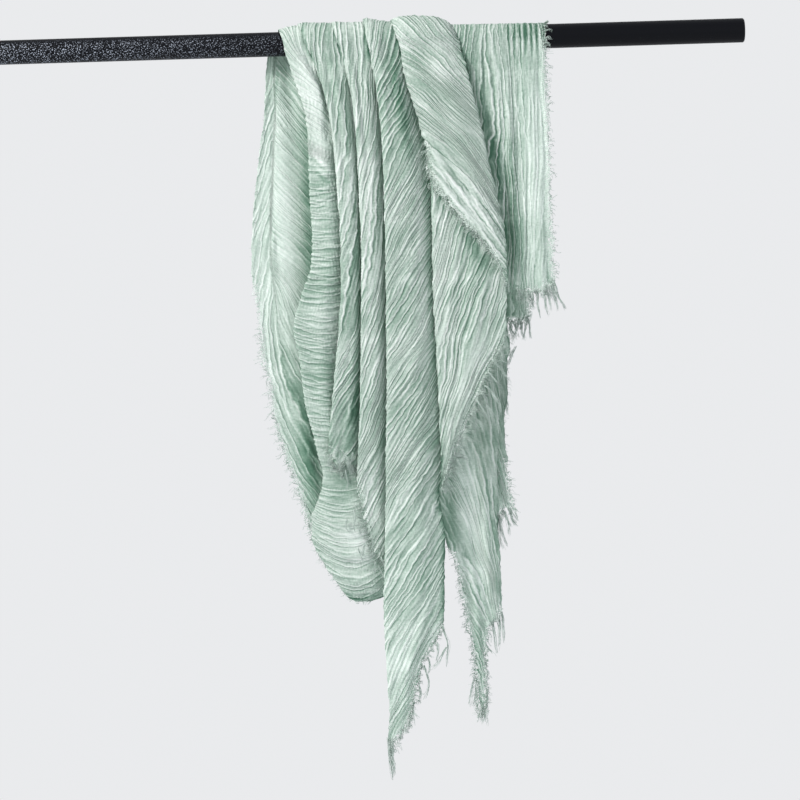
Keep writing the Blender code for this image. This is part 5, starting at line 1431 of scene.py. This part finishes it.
frayed_edge("short_tail_fringe", "under_fall", (
    ("back", "right", -0.594, -0.640, 50, 0.0120, 0.85, 0.10, 0.0012),
    ("back", "right", -0.640, -0.694, 70, 0.0070, 0.6, 0.10, 0.0014),
    ("back", "right", -0.330, -0.590, 20, 0.0028, 0.5, 0.1, 0.0006),
    ("back", "hem", 0.0, 1.0, 30, 0.0120, 0.8, 0.0, 0.0014),
), 27, locks=(
    # y, threads, width, line of x and z
    (0.0075, 9, 0.0020, ((0.0790, -0.5960), (0.0776, -0.6097), (0.0796, -0.6192), (0.0807, -0.6381))),
    (0.0085, 8, 0.0020, ((0.0868, -0.5920), (0.0894, -0.6077), (0.0879, -0.6195), (0.0895, -0.6266))),
    (0.0080, 8, 0.0018, ((0.0837, -0.5980), (0.0857, -0.6147), (0.0829, -0.6264), (0.0815, -0.6357))),
    (0.0030, 8, 0.0022, ((0.0647, -0.6847), (0.0656, -0.6941), (0.0676, -0.7047))),
    (0.0035, 8, 0.0020, ((0.0686, -0.6700), (0.0706, -0.6848), (0.0679, -0.6965), (0.0665, -0.7035))),
    (0.0030, 7, 0.0020, ((0.0625, -0.6799), (0.0633, -0.6917), (0.0642, -0.7023))),
))
frayed_edge("short_tail_frays", "under_fall", (
    ("back", "left", -0.520, -0.694, 110, 0.0045, 0.5, -0.2, 0.0010),
    ("back", "left", -0.640, -0.694, 34, 0.0090, 0.7, -0.3, 0.0016),
), 28, locks=(
    (0.0020, 8, 0.0018, ((0.0575, -0.6580), (0.0532, -0.6749), (0.0530, -0.6843), (0.0523, -0.6913))),
    (0.0025, 7, 0.0016, ((0.0580, -0.6680), (0.0578, -0.6797), (0.0552, -0.6867), (0.0528, -0.6902))),
))


# ---- The flap and the cascade --------------------------------------------------------------------
# The scarf's long raw edge, folded to the right across the panel under it, in a high soft fold on
# the rod. Behind the rod it falls in a cascade that ends in a fringed point.
FLAP_FRONT = (
    # z, left, right, out_left, out_right, belly, roll
    (0.014, -0.0095, 0.0505, 0.0137, 0.0137, 0.000, 0.000),
    (0.000, -0.0035, 0.0570, 0.0150, 0.0150, 0.000, 0.000),
    (-0.015, 0.0005, 0.0620, 0.0190, 0.0190, 0.004, 0.000),
    (-0.030, 0.0018, 0.0665, 0.0215, 0.0225, 0.006, -0.001),
    (-0.050, 0.0060, 0.0710, 0.0235, 0.0250, 0.006, -0.003),
    (-0.070, 0.0120, 0.0755, 0.0250, 0.0265, 0.005, -0.003),
    (-0.090, 0.0170, 0.0800, 0.0265, 0.0275, 0.005, -0.003),
    (-0.110, 0.0210, 0.0835, 0.0280, 0.0280, 0.004, -0.003),
    (-0.130, 0.0232, 0.0870, 0.0295, 0.0280, 0.004, -0.003),
    (-0.145, 0.0260, 0.0900, 0.0300, 0.0280, 0.004, -0.003),
    (-0.153, 0.0292, 0.0917, 0.0300, 0.0280, 0.004, -0.003),
    (-0.160, 0.0350, 0.0930, 0.0300, 0.0280, 0.004, -0.003),
    (-0.175, 0.0450, 0.0960, 0.0300, 0.0280, 0.004, -0.003),
    (-0.187, 0.0550, 0.0983, 0.0298, 0.0280, 0.003, -0.003),
    (-0.198, 0.0650, 0.1005, 0.0295, 0.0280, 0.003, -0.003),
    (-0.217, 0.0800, 0.1017, 0.0290, 0.0280, 0.001, -0.002),
    (-0.238, 0.0920, 0.1020, 0.0285, 0.0275, 0.000, 0.000),
    (-0.256, 0.0995, 0.1025, 0.0275, 0.0270, 0.000, 0.000),
)
CASCADE_BACK = (
    # z, left, right, out_left, out_right, belly, roll
    (0.014, -0.0095, 0.0505, 0.0137, 0.0137, 0.000, 0.000),
    (0.000, -0.0085, 0.0525, 0.0150, 0.0145, 0.000, 0.000),
    (-0.015, -0.0065, 0.0560, 0.0180, 0.0155, 0.003, 0.000),
    (-0.030, -0.0038, 0.0600, 0.0200, 0.0170, 0.005, 0.000),
    (-0.050, 0.0020, 0.0680, 0.0220, 0.0195, 0.005, 0.000),
    (-0.100, 0.0130, 0.0860, 0.0240, 0.0220, 0.003, 0.000),
    (-0.150, 0.0280, 0.0960, 0.0245, 0.0230, 0.002, 0.000),
    (-0.200, 0.0420, 0.1005, 0.0245, 0.0230, 0.002, 0.000),
    (-0.300, 0.0560, 0.1030, 0.0230, 0.0210, 0.001, 0.000),
    (-0.320, 0.0580, 0.1050, 0.0225, 0.0205, 0.001, 0.000),
    (-0.335, 0.0590, 0.1010, 0.0220, 0.0200, 0.001, 0.000),
    (-0.370, 0.0610, 0.1005, 0.0215, 0.0190, 0.001, 0.000),
    (-0.395, 0.0620, 0.0965, 0.0210, 0.0185, 0.001, 0.000),
    (-0.420, 0.0635, 0.0970, 0.0205, 0.0180, 0.001, 0.000),
    (-0.450, 0.0660, 0.1003, 0.0200, 0.0175, 0.001, 0.000),
    (-0.480, 0.0700, 0.1038, 0.0190, 0.0170, 0.000, 0.000),
    (-0.494, 0.0740, 0.1065, 0.0185, 0.0165, 0.000, 0.000),
)
FLAP_LEANS = (
    (0.000, -60.0, -56.0, -48.0),
    (-0.050, -54.0, -50.0, -44.0),
    (-0.110, -46.0, -43.0, -38.0),
    (-0.160, -38.0, -38.0, -32.0),
    (-0.256, -35.0, -35.0, -34.0),
)
CASCADE_LEANS = (
    (0.000, -30.0, -24.0, -16.0),
    (-0.100, -20.0, -18.0, -12.0),
    (-0.300, -10.0, -10.0, -8.0),
    (-0.494, -16.0, -14.0, -12.0),
)
# Narrow pleats beside the flap's raw edge, with hollows between them.
FLAP_PLEATS = (
    # lift, its half width, how much paler (painted light on a pleat, painted shade in a hollow), its half
    # width, line of x and z
    (0.0016, 0.0014, 0.22, 0.0011, ((0.026, -0.132), (0.046, -0.163), (0.074, -0.194), (0.100, -0.236))),
    (-0.0012, 0.0013, -0.30, 0.0010, ((0.028, -0.126), (0.049, -0.158), (0.078, -0.190), (0.101, -0.228))),
    (0.0018, 0.0015, 0.22, 0.0012, ((0.030, -0.120), (0.052, -0.153), (0.081, -0.186), (0.101, -0.218))),
    (-0.0014, 0.0014, -0.30, 0.0011, ((0.032, -0.112), (0.055, -0.147), (0.084, -0.180), (0.101, -0.208))),
    (0.0017, 0.0017, 0.20, 0.0014, ((0.034, -0.105), (0.058, -0.140), (0.087, -0.174), (0.100, -0.196))),
)

gauze_stretch(
    "flap", FLAP_FRONT, CASCADE_BACK,
    gather=((0.0, 0.0070), (0.12, 0.0104), (0.35, 0.0113), (0.7, 0.0104), (0.9, 0.0070), (1.0, 0.0020)),
    ripples=((0.0008, 2), (0.0010, 1)), mesh=(58, 205, 260),
    leans=(FLAP_LEANS, CASCADE_LEANS),
    crinkle=(0.0042, 0.100, 0.00034), broad=(0.0095, 0.120, 0.00024),
    creases=(
        *(("front", lift, width, line) for lift, width, _, _, line in FLAP_PLEATS),
        ("front", -0.0010, 0.0016, ((0.036, -0.096), (0.061, -0.132), (0.089, -0.166), (0.099, -0.184))),
        ("front", 0.0012, 0.0020, ((0.038, -0.086), (0.062, -0.120), (0.088, -0.152))),
        ("back", -0.0020, 0.0060, ((0.030, -0.030), (0.056, -0.150), (0.076, -0.330))),
        ("back", 0.0018, 0.0050, ((0.046, -0.060), (0.074, -0.200), (0.088, -0.420))),
    ),
    # strokes of painted light and painted shade
    tones=(
        ("front", 0.20, 0.009, ((0.028, -0.130), (0.052, -0.158), (0.080, -0.192), (0.100, -0.240))),
        *(("front", paler, width, line) for _, _, paler, width, line in FLAP_PLEATS),
        ("front", -0.12, 0.014, ((0.010, 0.006), (0.020, -0.040), (0.036, -0.080))),
        ("back", -0.04, 0.016, ((0.082, -0.370), (0.082, -0.420), (0.086, -0.460))),
    ),
    tone=0.53, flat=(0.074, 0.79), area=0.043, seed=16, lines=1.50,
    raw=(("front", "left", -0.112, -0.256), ("front", "hem", 0.0, 1.0), ("back", "right", -0.440, -0.494),
         ("back", "left", -0.380, -0.494), ("back", "hem", 0.0, 1.0)),
    shade=(0.0, 0.16),
    hems=(((0.0, 0.0), (1.0, 0.0)), ((0.0, -0.010), (0.35, 0.006), (0.6, -0.006), (1.0, -0.004))),
)


frayed_edge("flap_selvedge_frays", "flap", (
    ("front", "left", -0.108, -0.160, 60, 0.0085, 0.70, -0.1, 0.0016),
    ("front", "left", -0.160, -0.256, 150, 0.0075, 0.75, 0.1, 0.0014),
    ("front", "hem", 0.0, 1.0, 8, 0.0060, 0.6, 0.1, 0.0010),
), 29)
frayed_edge("cascade_hem_fringe", "flap", (
    ("back", "hem", 0.0, 1.0, 60, 0.0150, 0.85, 0.12, 0.0018),
), 30, locks=(
    # y, threads, width, line of x and z
    (0.0170, 10, 0.0026, ((0.0968, -0.4850), (0.1013, -0.4972), (0.1058, -0.5032), (0.1087, -0.5068))),
    (0.0172, 9, 0.0022, ((0.0991, -0.4860), (0.1012, -0.4995), (0.1040, -0.5067))),
    (0.0175, 9, 0.0022, ((0.0920, -0.4880), (0.0965, -0.4994), (0.0999, -0.5054), (0.1010, -0.5078))),
    (0.0180, 10, 0.0024, ((0.0875, -0.4920), (0.0904, -0.5075), (0.0936, -0.5181), (0.0957, -0.5264))),
    (0.0182, 9, 0.0022, ((0.0866, -0.4900), (0.0874, -0.5085), (0.0877, -0.5203), (0.0931, -0.5300))),
    (0.0176, 8, 0.0020, ((0.0940, -0.4900), (0.0986, -0.5080), (0.0984, -0.5159))),
    (0.0150, 8, 0.0018, ((0.0842, -0.4402), (0.0780, -0.4494), (0.0754, -0.4588), (0.0770, -0.4647))),
    (0.0148, 8, 0.0018, ((0.0898, -0.4486), (0.0837, -0.4567), (0.0800, -0.4636))),
    (0.0150, 8, 0.0018, ((0.0908, -0.4545), (0.0929, -0.4652), (0.0948, -0.4770), (0.0993, -0.4854))),
))
frayed_edge("cascade_selvedge_frays", "flap", (
    ("back", "right", -0.310, -0.494, 60, 0.0055, 0.65, 0.2, 0.0014),
    ("back", "left", -0.350, -0.494, 40, 0.0050, 0.5, -0.3, 0.0010),
), 31, locks=(
    (0.0200, 8, 0.0016, ((0.0990, -0.3700), (0.1005, -0.3807), (0.1003, -0.3881), (0.1022, -0.3902))),
    (0.0205, 10, 0.0020, ((0.1108, -0.3180), (0.1064, -0.3287), (0.1041, -0.3349), (0.1018, -0.3421))),
))


# ---- The right fall ------------------------------------------------------------------------------
# The flat fall at the right end of the scarf: one thin layer whose crinkles run straight down. The
# rod and the shorter leaf behind it show through the gauze.
RIGHT_FALL_FRONT = (
    # z, left, right, out_left, out_right, belly, roll
    (0.014, 0.0510, 0.1500, 0.0137, 0.0137, 0.000, 0.000),
    (0.000, 0.0575, 0.1500, 0.0137, 0.0137, 0.000, 0.000),
    (-0.015, 0.0625, 0.1500, 0.0138, 0.0138, 0.000, 0.000),
    (-0.030, 0.0660, 0.1500, 0.0140, 0.0140, 0.000, 0.000),
    (-0.050, 0.0680, 0.1512, 0.0142, 0.0142, 0.001, 0.000),
    (-0.100, 0.0760, 0.1515, 0.0145, 0.0145, 0.001, 0.000),
    (-0.150, 0.0840, 0.1512, 0.0145, 0.0145, 0.001, 0.000),
    (-0.200, 0.0900, 0.1512, 0.0145, 0.0145, 0.001, 0.000),
    (-0.250, 0.0940, 0.1525, 0.0145, 0.0145, 0.001, 0.000),
    (-0.263, 0.0950, 0.1530, 0.0145, 0.0145, 0.001, 0.000),
)
RIGHT_FALL_BACK = (
    # z, left, right, out_left, out_right, belly, roll
    (0.014, 0.0510, 0.1500, 0.0137, 0.0137, 0.000, 0.000),
    (0.000, 0.0530, 0.1400, 0.0137, 0.0137, 0.000, 0.000),
    (-0.015, 0.0565, 0.1310, 0.0138, 0.0138, 0.000, 0.000),
    (-0.030, 0.0605, 0.1250, 0.0138, 0.0138, 0.000, 0.000),
    (-0.050, 0.0650, 0.1200, 0.0140, 0.0140, 0.000, 0.000),
    (-0.100, 0.0820, 0.1180, 0.0142, 0.0142, 0.001, 0.000),
    (-0.150, 0.0920, 0.1215, 0.0142, 0.0142, 0.001, 0.000),
    (-0.200, 0.1005, 0.1260, 0.0140, 0.0140, 0.001, 0.000),
    (-0.300, 0.1015, 0.1280, 0.0135, 0.0135, 0.001, 0.000),
    (-0.304, 0.1015, 0.1275, 0.0135, 0.0135, 0.001, 0.000),
)
RIGHT_FALL_LEANS = (
    (0.000, 6.0, 2.0, 0.0),
    (-0.100, 5.0, 2.0, 0.0),
    (-0.263, 0.0, 0.0, -3.0),
)
# Thin crinkles where the fall crosses the rod: how much paler, and x above and below the rod's front.
# The paler ones are painted highlights on their crests, the deeper ones painted shade where the dark rod
# shows through.
ROD_CRINKLE_SHADING = (
    (-0.30, 0.1110, 0.1108), (0.40, 0.1142, 0.1140), (-0.34, 0.1170, 0.1172), (0.46, 0.1198, 0.1200),
    (-0.34, 0.1226, 0.1224), (0.50, 0.1253, 0.1255), (-0.38, 0.1288, 0.1286), (0.46, 0.1320, 0.1322),
    (-0.38, 0.1350, 0.1348), (0.52, 0.1376, 0.1378), (-0.34, 0.1404, 0.1402), (0.46, 0.1431, 0.1433),
)

gauze_stretch(
    "right_fall", RIGHT_FALL_FRONT, RIGHT_FALL_BACK,
    gather=((0.0, 0.0006), (0.5, 0.0003), (1.0, 0.0003)),
    ripples=((0.0008, 3), (0.0010, 1)), mesh=(96, 135, 110),
    leans=(RIGHT_FALL_LEANS, RIGHT_FALL_LEANS),
    crinkle=(0.0038, 0.130, 0.00030), broad=(0.0090, 0.150, 0.00026),
    creases=(
        ("front", -0.0014, 0.0024, ((0.104, -0.040), (0.105, -0.150), (0.104, -0.255))),
        ("front", 0.0012, 0.0022, ((0.110, -0.030), (0.111, -0.150), (0.110, -0.250))),
        ("front", -0.0014, 0.0024, ((0.117, -0.060), (0.118, -0.150), (0.117, -0.255))),
        ("front", 0.0012, 0.0024, ((0.090, -0.020), (0.094, -0.080), (0.098, -0.150))),
    ),
    # strokes of painted light and painted shade
    tones=(
        ("front", -0.34, 0.009, ((0.080, -0.050), (0.093, -0.120), (0.105, -0.180), (0.109, -0.264))),
        ("front", -0.18, 0.006, ((0.108, -0.110), (0.114, -0.190), (0.119, -0.262))),
        ("front", 0.20, 0.014, ((0.140, -0.030), (0.139, -0.150), (0.138, -0.255))),
        # painted shade where the rod shows through the gauze
        ("front", -0.36, 0.014, ((0.108, 0.006), (0.128, 0.006), (0.152, 0.006))),
        ("front", -0.12, 0.016, ((0.060, 0.004), (0.072, -0.030), (0.080, -0.080))),
        *(("front", paler, 0.0010, ((above, 0.024), (below, -0.022)))
          for paler, above, below in ROD_CRINKLE_SHADING),
    ),
    tone=0.51, flat=(0.101, 0.61), area=0.035, seed=17, lines=1.1,
    raw=(("front", "right", 0.02, -0.263), ("front", "hem", 0.0, 1.0), ("back", "hem", 0.0, 1.0),
         ("back", "right", -0.03, -0.304)),
    shade=(0.26, 0.0),
    line_strokes=(
        ("front", -0.75, 0.018, ((0.142, -0.030), (0.142, -0.258))),
        ("front", 1.10, 0.013, ((0.086, -0.070), (0.100, -0.150), (0.109, -0.262))),
    ),
    hems=(((0.0, 0.0), (0.55, 0.002), (0.75, 0.001), (0.85, -0.003), (1.0, -0.008)),
          ((0.0, -0.012), (0.5, -0.009), (1.0, -0.016))),
)


frayed_edge("right_fall_hem_fringe", "right_fall", (
    ("front", "hem", 0.30, 1.0, 150, 0.0170, 0.85, 0.15, 0.0016),
), 32, locks=(
    # y, threads, width, line of x and z
    (-0.0145, 12, 0.0026, ((0.1490, -0.2500), (0.1532, -0.2684), (0.1571, -0.2779), (0.1616, -0.2843))),
    (-0.0142, 10, 0.0022, ((0.1472, -0.2540), (0.1510, -0.2715), (0.1529, -0.2788), (0.1516, -0.2872))),
    (-0.0148, 10, 0.0022, ((0.1398, -0.2580), (0.1421, -0.2722), (0.1423, -0.2827), (0.1457, -0.2906))),
    (-0.0145, 9, 0.0020, ((0.1440, -0.2570), (0.1462, -0.2734), (0.1464, -0.2839))),
    (-0.0142, 9, 0.0020, ((0.1334, -0.2600), (0.1326, -0.2761), (0.1334, -0.2835), (0.1368, -0.2914))),
    (-0.0145, 9, 0.0020, ((0.1271, -0.2600), (0.1290, -0.2729), (0.1277, -0.2802), (0.1302, -0.2844))),
))
frayed_edge("right_fall_selvedge_frays", "right_fall", (
    ("front", "right", 0.0, -0.263, 130, 0.0052, 0.50, 0.2, 0.0018),
), 33, locks=(
    (-0.0100, 6, 0.0016, ((0.1480, 0.0100), (0.1534, 0.0076), (0.1567, 0.0080))),
    (-0.0135, 6, 0.0016, ((0.1480, 0.0034), (0.1533, 0.0054), (0.1554, 0.0009))),
    (-0.0138, 6, 0.0016, ((0.1478, -0.0044), (0.1520, -0.0023), (0.1559, -0.0058))),
    (-0.0138, 5, 0.0016, ((0.1478, -0.0078), (0.1528, -0.0112), (0.1549, -0.0146))),
    (-0.0040, 5, 0.0014, ((0.1485, 0.0134), (0.1536, 0.0144), (0.1524, 0.0111))),
))
frayed_edge("right_fall_back_fringe", "right_fall", (
    ("back", "hem", 0.0, 1.0, 60, 0.0160, 0.80, 0.10, 0.0018),
    ("back", "right", -0.030, -0.304, 60, 0.0030, 0.5, 0.1, 0.0008),
), 34, locks=(
    # y, threads, width, line of x and z
    (0.0138, 10, 0.0022, ((0.1233, -0.2874), (0.1209, -0.2988), (0.1190, -0.3081), (0.1183, -0.3144))),
    (0.0136, 9, 0.0020, ((0.1242, -0.2896), (0.1255, -0.3010), (0.1252, -0.3120))),
    (0.0136, 9, 0.0020, ((0.1149, -0.2892), (0.1125, -0.2996), (0.1091, -0.3078), (0.1110, -0.3142))),
    (0.0138, 10, 0.0022, ((0.1075, -0.2911), (0.1052, -0.2983), (0.1090, -0.3099), (0.1078, -0.3162))),
    (0.0140, 8, 0.0020, ((0.1179, -0.2935), (0.1165, -0.3039), (0.1204, -0.3134))),
    (0.0140, 8, 0.0020, ((0.1043, -0.2951), (0.1071, -0.3036), (0.1122, -0.3100))),
))


# ---- The studio ----------------------------------------------------------------------------------
# A plain pale floor well below the scarf, soft light from the upper left, and the camera of the
# photograph: level, square to the rod, turned by the photograph's own tilt.
PIXEL = 0.0010246              # metres that one pixel of the photograph covers, at the cloth
TILT = math.radians(1.73)
LOOK_AT = Vector((-0.0112, -0.02, -0.3707))
DISTANCE = 2.8
FRAME_PIXELS = 800
FLOOR_HEIGHT = -1.25
FLOOR_HALF_WIDTH = 2.6
ROOM_LIGHT = (0.62, 0.64, 0.66, 1.0)
BACKDROP = (0.820, 0.830, 0.845, 1.0)

floor_bm = bmesh.new()
bmesh.ops.create_grid(floor_bm, x_segments=1, y_segments=1, size=FLOOR_HALF_WIDTH)
bmesh.ops.translate(floor_bm, verts=floor_bm.verts[:], vec=(0.0, 0.0, FLOOR_HEIGHT))
floor_mesh = bpy.data.meshes.new("floor")
floor_bm.to_mesh(floor_mesh)
floor_bm.free()
floor = bpy.data.objects.new("floor", floor_mesh)
bpy.context.scene.collection.objects.link(floor)
floor_paint, floor_shader, _ = new_material("floor_paint")
floor_shader.inputs["Base Color"].default_value = (0.80, 0.81, 0.825, 1.0)
floor_shader.inputs["Roughness"].default_value = 0.9
floor_mesh.materials.append(floor_paint)

world = bpy.data.worlds.new("studio")
world.use_nodes = True
bpy.context.scene.world = world
air = Pattern(world.node_tree)
seen = air.node("ShaderNodeLightPath", "Is Camera Ray")
backdrop = air.blend(seen, ROOM_LIGHT, BACKDROP)
backdrop.feeds(world.node_tree.nodes["Background"], "Color")


def soft_light(name, place, size, power, colour):
    """A square area light that faces the scarf."""
    lamp = bpy.data.lights.new(name, "AREA")
    lamp.size = size
    lamp.energy = power
    lamp.color = colour
    light = bpy.data.objects.new(name, lamp)
    light.location = place
    light.rotation_euler = (LOOK_AT - Vector(place)).to_track_quat("-Z", "Y").to_euler()
    bpy.context.scene.collection.objects.link(light)


soft_light("key", (-2.0, -1.5, 1.3), 0.6, 78.0, (1.0, 0.985, 0.96))
soft_light("fill", (1.8, -2.4, 0.2), 1.6, 10.0, (0.96, 0.98, 1.0))
soft_light("rear", (0.9, 2.4, 0.5), 1.6, 14.0, (0.97, 0.985, 1.0))

lens = bpy.data.cameras.new("camera")
lens.sensor_width = 36.0
lens.lens = lens.sensor_width * DISTANCE / (PIXEL * FRAME_PIXELS)
lens.clip_end = 50.0
camera = bpy.data.objects.new("camera", lens)
bpy.context.scene.collection.objects.link(camera)
camera.matrix_world = Matrix((
    (math.cos(TILT), math.sin(TILT), 0.0, LOOK_AT.x),
    (0.0, 0.0, -1.0, LOOK_AT.y - DISTANCE),
    (-math.sin(TILT), math.cos(TILT), 0.0, LOOK_AT.z),
    (0.0, 0.0, 0.0, 1.0),
))
bpy.context.scene.camera = camera
bpy.context.scene.view_settings.view_transform = "Standard"
